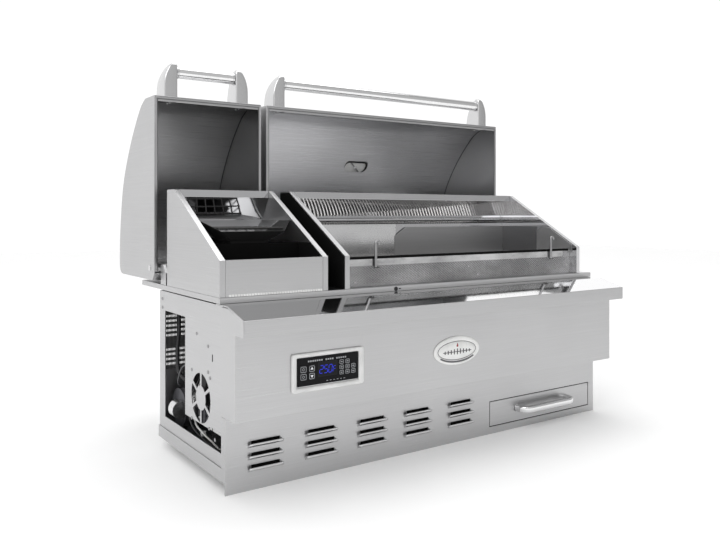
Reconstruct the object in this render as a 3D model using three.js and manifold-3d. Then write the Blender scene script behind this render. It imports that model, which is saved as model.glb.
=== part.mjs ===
// Built-in pellet smoker grill, both lids swung open. Millimetres, +Z up, front towards -Y.
// Layout coordinates: X = 0 in the middle of the counter flange, Y = 0 at its front edge and
// Z = 0 under the feet. The whole model is moved at the end so that the bottom centre of its
// bounding box is the origin.
import * as THREE from 'three';
import { mergeVertices } from 'three/addons/utils/BufferGeometryUtils.js';
import Module from 'manifold-3d';

const wasm = await Module();
wasm.setup();

// ---- driving dimensions -------------------------------------------------------------------

const SHEET = 2;                 // stainless sheet
const GAP = 0.3;                 // clearance kept between pieces that touch
const FLAT = 0.02;               // corners nearer than this to a straight edge are left out
const FLANGE = { left: -545, right: 545, front: 0, rear: 465, top: 368.8, lip: 11.5 };
const CABINET = { left: -545, right: 523, front: -25, rear: 346, bottom: 20.6, lip: 26 };
const FASCIA = { right: 535, front: -69, bottom: 145, top: 344 };
const LEDGE = { right: 538, front: -107, frontTop: 337.4, lipBottom: 307, flatTop: 357, bend: -38 };
const BOX = { rear: 290, frontTop: 440, rearTop: 583, flatStart: 246, wall: 12 };
const BEND = { low: 517, high: 567 };   // the sloping strip inside each box's rear wall
const HOPPER = { left: -545, right: -302.6 };
const CHAMBER = { left: -260.2, right: 498.9, frontY: 24, frontTop: 434 };
const HINGE = { y: 372, z: 404.5, toRim: 31, pin: 4 };
const BRACKETS = { left: [-544, -538], middle: [-283, -276], right: [503, 509] };
const LID_WALL = 8;
const HOPPER_LID = { left: -556.6, right: -286.6 };
const MAIN_LID = { left: -272.2, right: 524.6 };
const HANDLE = { inset: 33, bracket: 28, tube: 14.5, reach: 458.8, height: 32 };
const GAUGE = { x: 126.2, forward: 268, halfWidth: 43.5, halfHeight: 20 };
const DRAWER = { left: 139.7, right: 500.6, bottom: 18.8, top: 76.5, depth: 260, slack: 1.5 };
const LOUVRE = { x: [-460, -334, -207, -83, 45], z: [81.5, 58.5, 35.5], width: 77, height: 13, depth: 8 };
const BEZEL = { left: -429, right: -262, bottom: 184.5, top: 260, side: 12.4, foot: 11, head: 9.5 };
const BADGE = { x: -7, z: 224, halfWidth: 67.5, halfHeight: 32 };
const FAN = { y: 100, z: 158, radius: 50, hub: 25 };
const AUGER = { y: 155, z: 125, tube: 32, bore: 29, flight: 27, shaft: 7, pitch: 60 };
const POT = { x: 119, y: 155, radius: 50, bottom: 92, top: 200 };
const BLOWER = { y: 285, z: 95, radius: 42, left: -520, right: -472 };
const TUB = { left: -252, right: 491, front: 26, rear: 282, floor: 168 };
const GRID = { top: 404, thick: 6, front: 44, rear: 270, bar: 7, slot: 13 };

const DECK = FLANGE.top + GAP;           // what stands on the flange starts here
const FLANGE_UNDER = FLANGE.top - SHEET;

// ---- materials ----------------------------------------------------------------------------

const finish = (color, metalness, roughness) =>
  new THREE.MeshStandardMaterial({ color, metalness, roughness });
const BRUSHED = finish(0xb9babb, 1, 0.34);
const POLISHED = finish(0xd9dadb, 1, 0.08);
const INNER = finish(0x8f9092, 1, 0.24);
const CAST = finish(0x232425, 0.6, 0.6);
const BLACK = finish(0x101113, 0, 0.4);
const WHITE = finish(0xe9e9e7, 0, 0.45);
const ENAMEL = finish(0x2b2d2f, 0.3, 0.5);

// ---- solids -------------------------------------------------------------------------------

function solid(geometry) {
  const bare = geometry.clone();
  bare.deleteAttribute('normal');
  bare.deleteAttribute('uv');
  const merged = mergeVertices(bare, 1e-4);
  return new wasm.Manifold(new wasm.Mesh({
    numProp: 3,
    vertProperties: new Float32Array(merged.attributes.position.array),
    triVerts: new Uint32Array(merged.index.array),
  }));
}

function geometryOf(manifold) {
  const { vertProperties, triVerts } = manifold.asOriginal().simplify(FLAT).getMesh();
  const geometry = new THREE.BufferGeometry();
  geometry.setAttribute('position', new THREE.BufferAttribute(new Float32Array(vertProperties), 3));
  geometry.setIndex(new THREE.BufferAttribute(new Uint32Array(triVerts), 1));
  geometry.computeVertexNormals();
  return geometry;
}

const join = (...solids) => solids.flat().reduce((all, next) => all.add(next));
const cut = (body, ...tools) => tools.flat().reduce((left, tool) => left.subtract(tool), body);
const count = (n) => [...Array(n).keys()];

// A four-sided block between two level rectangles [x0, x1, y0, y1, z].
function frustum(low, high) {
  const geometry = new THREE.BoxGeometry(1, 1, 1);
  const place = geometry.attributes.position;
  for (const i of count(place.count)) {
    const [x0, x1, y0, y1, z] = place.getZ(i) < 0 ? low : high;
    place.setXYZ(i, place.getX(i) < 0 ? x0 : x1, place.getY(i) < 0 ? y0 : y1, z);
  }
  return solid(geometry);
}

const box = (x, y, [z0, z1]) => frustum([...x, ...y, z0], [...x, ...y, z1]);

// A prism of an outline [[u, v], ...] between two planes. Its corners are set to the exact
// numbers asked for, so that neighbouring solids share their planes without slivers.
function prism(outline, [low, high], corner, holes) {
  const bar = (points, near, far) => {
    const shape = new THREE.Shape(points.map(([u, v]) => new THREE.Vector2(u, v)));
    const geometry = new THREE.ExtrudeGeometry(shape, { depth: 1, bevelEnabled: false });
    const place = geometry.attributes.position;
    for (const i of count(place.count)) {
      place.setXYZ(i, ...corner(place.getX(i), place.getY(i), place.getZ(i) < 0.5 ? near : far));
    }
    return solid(geometry);
  };
  const side = Math.sign(high - low);
  return cut(bar(outline, low, high), holes.map((hole) => bar(hole, low - side, high + side)));
}

const prismX = (outlineYZ, [x0, x1], holes = []) =>
  prism(outlineYZ, [x0, x1], (u, v, x) => [x, u, v], holes);
const prismY = (outlineXZ, [y0, y1], holes = []) =>
  prism(outlineXZ, [y1, y0], (u, v, y) => [u, y, v], holes);
const prismZ = (outlineXY, [z0, z1], holes = []) =>
  prism(outlineXY, [z0, z1], (u, v, z) => [u, v, z], holes);

function oval(u, v, halfU, halfV, sides) {
  return count(sides).map((i) => {
    const turn = (2 * Math.PI * i) / sides;
    return [u + halfU * Math.cos(turn), v + halfV * Math.sin(turn)];
  });
}

const disc = (u, v, radius, sides = 20) => oval(u, v, radius, radius, sides);
const rectangle = ([u0, u1], [v0, v1]) => [[u0, v0], [u1, v0], [u1, v1], [u0, v1]];

// Moves a polyline sideways by a distance, mitred at its corners; positive is to its left.
function offset(path, distance) {
  const normals = path.slice(1).map(([u, v], i) => {
    const [du, dv] = [u - path[i][0], v - path[i][1]];
    const length = Math.hypot(du, dv);
    return [-dv / length, du / length];
  });
  return path.map(([u, v], i) => {
    const [a, b] = [normals[Math.max(i - 1, 0)], normals[Math.min(i, normals.length - 1)]];
    const share = distance / (1 + a[0] * b[0] + a[1] * b[1]);
    return [u + share * (a[0] + b[0]), v + share * (a[1] + b[1])];
  });
}

// The section of a sheet folded along a polyline, its thickness to the left of the path.
const folded = (path, thickness) => [...path, ...offset(path, thickness).reverse()];

// ---- assembly -----------------------------------------------------------------------------

const grill = new THREE.Group();

function piece(name, body, material) {
  const mesh = new THREE.Mesh(geometryOf(body), material);
  mesh.name = name;
  grill.add(mesh);
}

// ---- cabinet ------------------------------------------------------------------------------

const PAN_TOP = CABINET.bottom + SHEET;
const PANEL = {                       // side and rear panels stand inside the pan's lips
  left: CABINET.left + SHEET + GAP,
  right: CABINET.right - SHEET - GAP,
  front: -6.7,
  rear: CABINET.rear - SHEET - GAP,
  bottom: PAN_TOP + GAP,
  top: 354.6,
};

function bottomPan() {
  const { left, right, front, rear, bottom, lip } = CABINET;
  const edge = [bottom, bottom + lip];
  const foot = (x) => box([x - 25, x + 25], [20, 320], [0, PAN_TOP - 0.5]);
  return join(
    box([left, right], [front + SHEET + GAP, rear], [bottom, PAN_TOP]),
    box([left, left + SHEET], [PANEL.front, rear], edge),
    box([right - SHEET, right], [PANEL.front, rear], edge),
    box([left, right], [rear - SHEET, rear], edge),
    foot(-380), foot(380),
  );
}

function fanSlots() {
  const slot = (middle) => {
    const half = 0.5;                     // radians either side of the slot's middle
    const rounding = 0.05;
    const taper = 0.09;
    const arc = (radius, steps, from, to) => count(steps + 1).map((i) => {
      const turn = from + ((to - from) * i) / steps;
      return [FAN.y + radius * Math.cos(turn), FAN.z + radius * Math.sin(turn)];
    });
    const narrow = half - taper;
    return [...arc(FAN.radius, 5, middle - half + rounding, middle + half - rounding),
      ...arc(FAN.hub, 3, middle + narrow, middle - narrow)];
  };
  return count(6).map((i) => slot((i * Math.PI) / 3));
}

function leftSidePanel() {
  const { left, front, rear, bottom, top } = PANEL;
  const cutout = [[front - 1, 73], [309, 73], [309, 311.5], [185.5, 311.5], [185.5, 106],
    [front - 1, 106]];
  const plate = prismX(rectangle([front, rear], [bottom, top]), [left, left + SHEET], fanSlots());
  return cut(plate, prismX(cutout, [left - 1, left + SHEET + 1]));
}

function slotRows([u0, u1], v0, pitch, height, amount) {
  return count(amount).map((i) => rectangle([u0, u1], [v0 + i * pitch, v0 + i * pitch + height]));
}

function rightSidePanel() {
  const { right, front, rear, bottom, top } = PANEL;
  const vents = [...slotRows([60, 150], 200, 18, 7, 4), ...slotRows([200, 290], 200, 18, 7, 4)];
  return prismX(rectangle([front, rear], [bottom, top]), [right - SHEET, right], vents);
}

function rearPanel() {
  const { left, right, rear, bottom, top } = PANEL;
  const vents = [[-532, -470], [-420, -340], [60, 140], [200, 280]].flatMap(
    (span) => [...slotRows(span, 181, 11, 5, 4), ...slotRows(span, 247, 11, 5, 5)]);
  const inlet = rectangle([-300, -272], [90, 112]);
  return prismY(rectangle([left + SHEET + GAP, right - SHEET - GAP], [bottom, top]),
    [rear - SHEET, rear], [...vents, inlet]);
}

// A pressed louvre hood with its mouth upwards, and the slot behind it.
function louvre(x, z) {
  const half = LOUVRE.width / 2;
  const face = CABINET.front;
  const wedge = (inset, rise, back) => prismX(
    [[face + back, z + inset], [face - LOUVRE.depth + inset, z + 9 + rise], [face + back, z + 9 + rise]],
    [x - half + inset, x + half - inset]);
  return {
    hood: wedge(0, 0, 1),
    hollow: join(wedge(1.2, 3, 3), box([x - half + 3, x + half - 3],
      [face - 0.5, face + SHEET + 1], [z + 4, z + LOUVRE.height])),
  };
}

function lowerFrontPanel() {
  const { left, right, front } = CABINET;
  const top = FASCIA.bottom - GAP;
  const { slack } = DRAWER;
  const opening = rectangle([DRAWER.left - slack, DRAWER.right + slack],
    [DRAWER.bottom - slack, DRAWER.top + slack]);
  const face = prismY(rectangle([left, right], [0, top]), [front, front + SHEET], [opening]);
  const edge = (x) => box([x, x + SHEET], [front, PANEL.front - GAP], [0, top]);
  const louvres = LOUVRE.x.flatMap((x) => LOUVRE.z.map((z) => louvre(x, z)));
  return cut(join(face, edge(left), edge(right - SHEET), louvres.map((one) => one.hood)),
    louvres.map((one) => one.hollow),
    box([left - 1, left + SHEET + 1], [front + SHEET, 0], [0, PAN_TOP + GAP]),
    box([right - SHEET - 1, right + 1], [front + SHEET, 0], [0, PAN_TOP + GAP]));
}

function frontFascia() {
  const { right, front, bottom, top } = FASCIA;
  const left = CABINET.left;
  const window = rectangle([BEZEL.left + BEZEL.side, BEZEL.right - BEZEL.side],
    [BEZEL.bottom + BEZEL.foot, BEZEL.top - BEZEL.head]);
  const side = [[front, bottom], [PANEL.front - GAP, bottom], [PANEL.front - GAP, 353],
    [LEDGE.bend, 353], [front, top]];
  return join(
    prismY(rectangle([left, right], [bottom, top]), [front, front + SHEET], [window]),
    prismX(side, [left, left + SHEET]),
    prismX(side, [right - SHEET, right]),
    box([left, right], [front, CABINET.front + SHEET], [bottom, bottom + SHEET]),
  );
}

function frontLedge() {
  const path = [[18, LEDGE.flatTop], [LEDGE.bend, LEDGE.flatTop], [LEDGE.front, LEDGE.frontTop],
    [LEDGE.front, LEDGE.lipBottom]];
  return prismX(folded(path, 1.8), [FLANGE.left, LEDGE.right]);
}

// The two strips under the flange that lie on the counter, at the right and along the rear.
const BEARING = { under: 1.2, sideX: [524, 541], sideY: [20, 430], rearX: [-520, 520], rearY: [440, 460] };

function counterFlange() {
  const { left, right, front, rear, top, lip } = FLANGE;
  const hopperHole = rectangle([HOPPER.left + BOX.wall, HOPPER.right - BOX.wall], [12, 278]);
  const chamberHole = rectangle([CHAMBER.left + 19, CHAMBER.right - 19], [42, 272]);
  const plate = prismZ(rectangle([left, right], [front, rear]), [top - lip, top],
    [hopperHole, chamberHole]);
  const tray = cut(plate, box([left + SHEET, right - SHEET], [front + SHEET, rear - SHEET],
    [top - lip - 1, FLANGE_UNDER]));
  const { under, sideX, sideY, rearX, rearY } = BEARING;
  const height = [FLANGE_UNDER - under, FLANGE_UNDER + SHEET / 2];
  return join(tray, box(sideX, sideY, height), box(rearX, rearY, height));
}

// ---- hopper and chamber boxes -------------------------------------------------------------

const CHEEK = [[0, DECK], [BOX.rear, DECK], [BOX.rear, BOX.rearTop], [BOX.flatStart, BOX.rearTop],
  [0, BOX.frontTop]];

// The rear wall is one folded sheet: up the inside, forward along the sloping strip, over the
// flat top and down the back.
function rearWall({ left, right }) {
  const inner = BOX.rear - BOX.wall;
  const path = [[BOX.rear, DECK], [BOX.rear, BOX.rearTop], [BOX.flatStart, BOX.rearTop],
    [BOX.flatStart, BEND.high], [inner, BEND.low], [inner, DECK]];
  return prismX(folded(path, SHEET), [left + BOX.wall + GAP, right - BOX.wall - GAP]);
}

const cheek = (x) => prismX(CHEEK, [x, x + BOX.wall]);

function hopperFrontWall() {
  const x = [HOPPER.left + BOX.wall + GAP, HOPPER.right - BOX.wall - GAP];
  const path = [[0, DECK], [0, BOX.frontTop], [BOX.wall, BOX.frontTop], [BOX.wall, DECK]];
  return prismX(folded(path, -SHEET), x);
}

function chamberFrontWall() {
  const { frontY, frontTop } = CHAMBER;
  const path = [[frontY, DECK], [frontY, frontTop], [frontY + 12, frontTop], [frontY + 12, 415]];
  return prismX(folded(path, -SHEET), [CHAMBER.left + BOX.wall + GAP, CHAMBER.right - BOX.wall - GAP]);
}

// The lattice that keeps fingers out of the feed throat: its bars' spans and how many each way.
const GUARD = { x: [-501, -347], y: [112, 244], z: [497, 500], bar: 4, across: 7, along: 6 };

function hopperFunnel() {
  const skin = (t) => {
    const mouth = [-531 + t, -316.6 - t, 76 + t, 275 - t];
    const neck = [-468 + t, -380 - t, 122 + t, 211 - t];
    const throat = [-454 + t, -394 - t, 125 + t, 185 - t];
    return [[...mouth, 515], [...neck, 472], [...throat, 230], [...throat, 160]];
  };
  const shell = (sections) => join(
    sections.slice(1).map((low, i) => frustum(low, sections[i])));
  const [outer, inner] = [skin(0), skin(SHEET)];
  inner[0][4] += 0.5;
  inner[3][4] -= 0.5;
  const above = prismX([[40, 457], [217, 560], [40, 560]], [-540, -310]);
  return cut(shell(outer), shell(inner), above);
}

function hopperGuard() {
  const { x, y, z, bar, across, along } = GUARD;
  const bars = ([from, to], amount) => count(amount).map((i) => {
    const start = from + ((to - from - bar) * i) / (amount - 1);
    return [start, start + bar];
  });
  return join(
    bars(x, across).map((span) => box(span, y, z)),
    bars(y, along).map((span) => box(x, span, z)));
}

// ---- fire and food ------------------------------------------------------------------------

function fireboxTub() {
  const { left, right, front, rear, floor } = TUB;
  const top = FLANGE_UNDER - GAP;
  return cut(box([left, right], [front, rear], [floor, top]),
    box([left + SHEET, right - SHEET], [front + SHEET, rear - SHEET], [floor + SHEET, top + 1]),
    prismZ(disc(POT.x, POT.y, POT.radius + 2), [floor - 1, floor + SHEET + 1]),
    box([380, 420], [60, 100], [floor - 1, floor + SHEET + 1]));
}

function cookingGrid([x0, x1]) {
  const { top, thick, front, rear, bar, slot } = GRID;
  const amount = Math.floor((x1 - x0 - bar) / (bar + slot));
  const pitch = (x1 - x0 - bar) / amount;
  const middle = (front + rear) / 2;
  const slots = count(amount).flatMap((i) => {
    const span = [x0 + bar + i * pitch, x0 + (i + 1) * pitch];
    return [rectangle(span, [front + bar, middle - bar / 2]),
      rectangle(span, [middle + bar / 2, rear - bar])];
  });
  const feet = [x0, x1 - 4].flatMap((x) => [front - 4, rear].map(
    (y) => box([x, x + 4], [y, y + 4], [DECK, top - thick])));
  const rim = join(box([x0, x1], [front - 4, front + 1], [top - thick, top]),
    box([x0, x1], [rear - 1, rear + 4], [top - thick, top]));
  return join(prismZ(rectangle([x0, x1], [front, rear]), [top - thick, top], slots), rim, feet);
}

const DEFLECTOR = { x: [-244, 483], y: [34, 274], z: [298, 300] };
const FLAME_SLOTS = { from: 60, to: 178, y: [115, 195], amount: 6 };

function heatDeflector() {
  const { x, y, z } = DEFLECTOR;
  const pitch = (FLAME_SLOTS.to - FLAME_SLOTS.from) / FLAME_SLOTS.amount;
  const slots = count(FLAME_SLOTS.amount).map((i) => {
    const start = FLAME_SLOTS.from + i * pitch + 5;
    return rectangle([start, start + pitch - 10], FLAME_SLOTS.y);
  });
  const leg = (u, v) => box([u, u + 4], [v, v + 4], [TUB.floor + SHEET + GAP, z[0] + 1]);
  return join(prismZ(rectangle(x, y), z, slots),
    leg(x[0], y[0]), leg(x[0], y[1] - 4), leg(x[1] - 4, y[0]), leg(x[1] - 4, y[1] - 4));
}

function broilerSlider() {
  const z = DEFLECTOR.z[1] + GAP;
  return join(box([52, 186], [105, 205], [z, z + SHEET]),
    box([176, 180], [135, 175], [z + 1, z + 26]));
}

function burnPot() {
  const { x, y, radius, bottom, top } = POT;
  return cut(prismZ(disc(x, y, radius), [bottom, top]),
    prismZ(disc(x, y, radius - 3), [bottom + 3, top + 1]),
    prismX(disc(AUGER.y, AUGER.z, AUGER.bore), [x - radius - 5, x]),
    prismY(disc(x, AUGER.z - 10, 6, 8), [y - radius - 5, y]));
}

const igniterRod = () => prismY(disc(POT.x, AUGER.z - 10, 5, 10), [58, 118]);

function augerTube() {
  const x = [-470, POT.x - POT.radius - 0.6];
  return cut(prismX(disc(AUGER.y, AUGER.z, AUGER.tube, 24), x),
    prismX(disc(AUGER.y, AUGER.z, AUGER.bore, 24), [x[0] - 1, x[1] + 1]),
    box([-452, -396], [127, 183], [AUGER.z + 10, AUGER.z + 40]));
}

// Shaft and helical flight in one: a round section with one narrow lobe, turned as it goes along.
function augerScrew() {
  const [start, end] = [-462, 62];
  const perTurn = 8;
  const steps = Math.floor(((end - start) / AUGER.pitch) * perTurn);
  const step = AUGER.pitch / perTurn;
  const lobe = [-12, 12];
  const round = [20, 84, 148, 212, 276, 340];
  const ring = (x, turn, reach) => [[lobe, reach], [round, AUGER.shaft]].flatMap(
    ([angles, radius]) => angles.map((degrees) => {
      const at = THREE.MathUtils.degToRad(degrees + turn);
      return [x, AUGER.y + radius * Math.cos(at), AUGER.z + radius * Math.sin(at)];
    }));
  const rings = [ring(start - 14, 0, AUGER.shaft), ring(start - 3, 0, AUGER.shaft),
    ...count(steps).map((i) => ring(start + i * step, (i * 360) / perTurn, AUGER.flight))];
  const sides = lobe.length + round.length;
  const faces = rings.slice(1).flatMap((_, i) => count(sides).flatMap((k) => {
    const [a, b] = [i * sides + k, i * sides + ((k + 1) % sides)];
    return [a, b, a + sides, b, b + sides, a + sides];
  }));
  const last = (rings.length - 1) * sides;
  for (const k of count(sides - 2)) faces.push(0, k + 2, k + 1, last, last + k + 1, last + k + 2);
  const geometry = new THREE.BufferGeometry();
  const places = new Float32Array(rings.flat(2));
  geometry.setAttribute('position', new THREE.BufferAttribute(places, 3));
  geometry.setIndex(faces);
  return solid(geometry);
}

function augerMotor() {
  return join(box([-512, -476.5], [115, 195], [85, 165]),
    prismY(disc(-494, 125, 17, 16), [194, 244]));
}

function blowerHousing() {
  const { y, z, radius, left, right } = BLOWER;
  const outlet = box([right - 34, right - 6], [y - 16, y + 16], [z - radius - 14, z - radius + 12]);
  const passage = box([right - 32, right - 8], [y - 14, y + 14], [z - radius - 20, z - radius + 20]);
  return cut(join(prismX(disc(y, z, radius), [left, right]), outlet),
    prismX(disc(y, z, radius - SHEET), [left + SHEET, right - SHEET]),
    prismX(disc(y, z, 20), [left - 1, left + SHEET + 1]), passage);
}

function wheel([x0, x1], y, z, hub, radius, blades, plate) {
  const blade = (i) => {
    const turn = (2 * Math.PI * i) / blades;
    const [c, s] = [Math.cos(turn), Math.sin(turn)];
    const corner = (r, side) => [y + r * c - side * s, z + r * s + side * c];
    return prismX([corner(hub - 2, -1), corner(radius, -1), corner(radius, 1), corner(hub - 2, 1)],
      [x0 + 1, x1 - 1]);
  };
  return join(prismX(disc(y, z, hub, 16), [x0, x1]), prismX(disc(y, z, plate, 16), [x1 - 3, x1]),
    count(blades).map(blade));
}

// ---- controls, badge, drawer --------------------------------------------------------------

function roundedRectangle([u0, u1], [v0, v1], radius) {
  const corners = [[u1 - radius, v0 + radius, -90], [u1 - radius, v1 - radius, 0],
    [u0 + radius, v1 - radius, 90], [u0 + radius, v0 + radius, 180]];
  return corners.flatMap(([u, v, start]) => count(5).map((i) => {
    const turn = THREE.MathUtils.degToRad(start + i * 22.5);
    return [u + radius * Math.cos(turn), v + radius * Math.sin(turn)];
  }));
}

const WINDOW = {
  x: [BEZEL.left + BEZEL.side, BEZEL.right - BEZEL.side],
  z: [BEZEL.bottom + BEZEL.foot, BEZEL.top - BEZEL.head],
};
const BUTTONS = {
  power_button: { x: [-410.5, -396], z: [222, 235] },
  menu_button: { x: [-410.5, -396], z: [207.5, 220.5] },
  up_button: { x: [-391, -377.5], z: [222, 235] },
  down_button: { x: [-391, -377.5], z: [207.5, 220.5] },
};
const PANEL_FACE = FASCIA.front - 2.5;

function controlBezel() {
  return prismY(roundedRectangle([BEZEL.left, BEZEL.right], [BEZEL.bottom, BEZEL.top], 5),
    [FASCIA.front - 4.8, FASCIA.front - GAP], [roundedRectangle(WINDOW.x, WINDOW.z, 3)]);
}

function controlPanel() {
  const inset = ([low, high], by) => [low + by, high - by];
  const pocket = ({ x, z }) => box(inset(x, -GAP), [PANEL_FACE - 1, PANEL_FACE + 3.5], inset(z, -GAP));
  const block = prismY(roundedRectangle(inset(WINDOW.x, 0.5), inset(WINDOW.z, 0.5), 2.5),
    [PANEL_FACE, FASCIA.front + 26]);
  return cut(block, Object.values(BUTTONS).map(pocket));
}

const controlButton = ({ x, z }) => box(x, [PANEL_FACE - 1.1, PANEL_FACE + 2.2], z);

const badgePlate = () => prismY(oval(BADGE.x, BADGE.z, BADGE.halfWidth, BADGE.halfHeight, 32),
  [FASCIA.front - 3, FASCIA.front - GAP]);

const drawerFront = () => box([DRAWER.left, DRAWER.right],
  [CABINET.front, CABINET.front + SHEET], [DRAWER.bottom, DRAWER.top]);

function drawerTray() {
  const x = [DRAWER.left + 8, DRAWER.right - 8];
  const y = [CABINET.front + SHEET + GAP, CABINET.front + DRAWER.depth];
  const z = [PAN_TOP + 1.2, DRAWER.top - 8];
  return cut(box(x, y, z), box([x[0] + SHEET, x[1] - SHEET], [y[0] + SHEET, y[1] - SHEET],
    [z[0] + SHEET, z[1] + 1]));
}

function drawerHandle() {
  const middle = (DRAWER.left + DRAWER.right) / 2;
  const [half, z, y] = [93, 50, CABINET.front - 29];
  const post = (x) => prismY(disc(x, z, 6, 12), [y, CABINET.front - GAP]);
  return join(prismX(disc(y, z, 7.5, 14), [middle - half, middle + half]),
    post(middle - half + 14), post(middle + half - 14));
}

// ---- lids ---------------------------------------------------------------------------------
// A lid is drawn by (forward, up): forward of the hinge and up from its rim, as it lies closed.
// Standing open it is turned a quarter back, so forward points up and up points to the rear.

const opened = ([forward, up]) => [HINGE.y - HINGE.toRim + up, HINGE.z + forward];
const RIM_Y = HINGE.y - HINGE.toRim;

function lidProfile() {
  const path = new THREE.Path();
  path.moveTo(4, -13);
  path.lineTo(-28, 13);
  path.lineTo(-28, 238);
  path.quadraticCurveTo(-28, 268, -4, 269.5);
  path.splineThru([[82, 265], [198, 239], [295, 180], [372, 108], [396, 66]].map(
    ([u, v]) => new THREE.Vector2(u, v)));
  path.lineTo(396, -20);
  return path.getPoints(3).map(({ x, y }) => [x, y]);
}

const PROFILE = lidProfile();
// Walking the open lid's profile from its rear edge round to its front edge, the inside of the
// lid is on the left-hand side once it is turned into (Y, Z).
const lidPath = (depth) => offset(PROFILE.map(opened), depth);
const belowRim = ([x0, x1]) => box([x0 - 5, x1 + 5], [RIM_Y - 60, RIM_Y], [300, 900]);

const gaugeHole = () => prismY(
  oval(GAUGE.x, HINGE.z + GAUGE.forward, GAUGE.halfWidth, GAUGE.halfHeight, 24), [420, 640]);

const pinHole = (x0, x1) => prismX(disc(HINGE.y, HINGE.z, HINGE.pin + 0.8, 12), [x0, x1]);

function lidSkin({ left, right }) {
  const x = [left + SHEET + GAP, right - SHEET - GAP];
  return cut(prismX([...lidPath(0), ...lidPath(SHEET).reverse()], x), belowRim(x));
}

function lidEnd(x) {
  const span = [x, x + SHEET];
  return cut(prismX(lidPath(0), span), belowRim(span), pinHole(x - 1, x + SHEET + 1));
}

function lidLiner({ left, right }) {
  const outside = [left + LID_WALL - 1.5, right - LID_WALL + 1.5];
  const inside = [left + LID_WALL, right - LID_WALL];
  const rim = box([left + SHEET + GAP, right - SHEET - GAP], [RIM_Y, RIM_Y + 1.5],
    [HINGE.z - 8, HINGE.z + 396 - SHEET - GAP]);
  const mouth = box(inside, [RIM_Y - 1, RIM_Y + 3], [HINGE.z + 2, HINGE.z + 396 - LID_WALL]);
  const hollow = prismX(lidPath(LID_WALL), inside);
  const shell = cut(prismX(lidPath(LID_WALL - 1.5), outside), hollow);
  const notch = ([x0, x1]) => box([x0 - 1.5, x1 + 1.5], [RIM_Y - 1, RIM_Y + 7],
    [HINGE.z - 7.5, HINGE.z + 3]);
  return cut(join(cut(shell, belowRim(outside)), rim), hollow, mouth, pinHole(left, right),
    notch(BRACKETS.left), notch(BRACKETS.right));
}

function lidBracket(x) {
  const outline = [[396.3, 14], [468, 14], [475, 17], [478.5, 24], [478, 34], [473, 43],
    [460, 52], [440, 60], [418, 67], [396.3, 71]];
  return prismX(outline.map(opened), [x, x + HANDLE.bracket]);
}

function lidTube({ left, right }) {
  const end = HANDLE.inset + HANDLE.bracket + GAP;
  const [y, z] = opened([HANDLE.reach, HANDLE.height]);
  return prismX(disc(y, z, HANDLE.tube, 16), [left + end, right - end]);
}

// The dial sits on the sloping face: an oval case outside and a boss through the lid.
function lidThermometer() {
  const next = PROFILE.findIndex(([forward], i) => i > 8 && forward > GAUGE.forward);
  const [[u0, v0], [u1, v1]] = PROFILE.slice(next - 1, next + 1);
  const tilt = Math.atan2(v0 - v1, u1 - u0);
  const height = v0 - (GAUGE.forward - u0) * Math.tan(tilt);
  const face = opened([GAUGE.forward, height]);
  const layer = (halfWidth, halfHeight, from, to) => {
    const shape = new THREE.Shape(oval(0, 0, halfWidth, halfHeight, 24).map(
      ([u, v]) => new THREE.Vector2(u, v)));
    const geometry = new THREE.ExtrudeGeometry(shape, { depth: to - from, bevelEnabled: false });
    geometry.translate(0, 0, from);
    geometry.rotateX(-Math.PI / 2 + tilt);
    return solid(geometry.translate(GAUGE.x, face[0], face[1]));
  };
  return join(layer(52, 30, 0.5, 9), layer(36, 13, -10, 1));
}

function hingeBracket([x0, x1], [pin0, pin1]) {
  const ear = count(7).map((i) => {
    const turn = -Math.PI / 2 + (i * Math.PI) / 6;
    return [HINGE.y + 10 * Math.cos(turn), HINGE.z + 10 * Math.sin(turn)];
  });
  const outline = [[300, DECK], [334, DECK], [334, 399], [356, 399], ...ear, [318, 414.5],
    [300, 396]];
  return join(prismX(outline, [x0, x1]),
    prismX(disc(HINGE.y, HINGE.z, HINGE.pin, 12), [pin0, pin1]));
}

// ---- pieces -------------------------------------------------------------------------------

piece('bottom_pan', bottomPan(), BRUSHED);
piece('left_side_panel', leftSidePanel(), BRUSHED);
piece('right_side_panel', rightSidePanel(), BRUSHED);
piece('rear_panel', rearPanel(), BRUSHED);
piece('lower_front_panel', lowerFrontPanel(), BRUSHED);
piece('front_fascia', frontFascia(), BRUSHED);
piece('front_ledge', frontLedge(), POLISHED);
piece('counter_flange', counterFlange(), BRUSHED);

piece('hopper_left_wall', cheek(HOPPER.left), BRUSHED);
piece('hopper_right_wall', cheek(HOPPER.right - BOX.wall), BRUSHED);
piece('hopper_front_wall', hopperFrontWall(), BRUSHED);
piece('hopper_rear_wall', rearWall(HOPPER), INNER);
piece('hopper_funnel', hopperFunnel(), INNER);
piece('hopper_guard', hopperGuard(), CAST);

piece('chamber_left_wall', cheek(CHAMBER.left), BRUSHED);
piece('chamber_right_wall', cheek(CHAMBER.right - BOX.wall), BRUSHED);
piece('chamber_front_wall', chamberFrontWall(), POLISHED);
piece('chamber_rear_wall', rearWall(CHAMBER), INNER);

piece('firebox_tub', fireboxTub(), ENAMEL);
piece('cooking_grid_left', cookingGrid([-246, 117.5]), CAST);
piece('cooking_grid_right', cookingGrid([121.2, 484.7]), CAST);
piece('heat_deflector', heatDeflector(), ENAMEL);
piece('broiler_slider', broilerSlider(), INNER);
piece('burn_pot', burnPot(), CAST);
piece('igniter_rod', igniterRod(), INNER);
piece('auger_tube', augerTube(), INNER);
piece('auger_screw', augerScrew(), INNER);
piece('auger_motor', augerMotor(), ENAMEL);
piece('blower_housing', blowerHousing(), ENAMEL);
piece('blower_wheel', wheel([-512, -480], BLOWER.y, BLOWER.z, 10, 34, 12, 30), BLACK);
piece('cooling_fan', wheel([-537, -518], FAN.y, FAN.z, 18, 45, 7, 18), BLACK);

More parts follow.
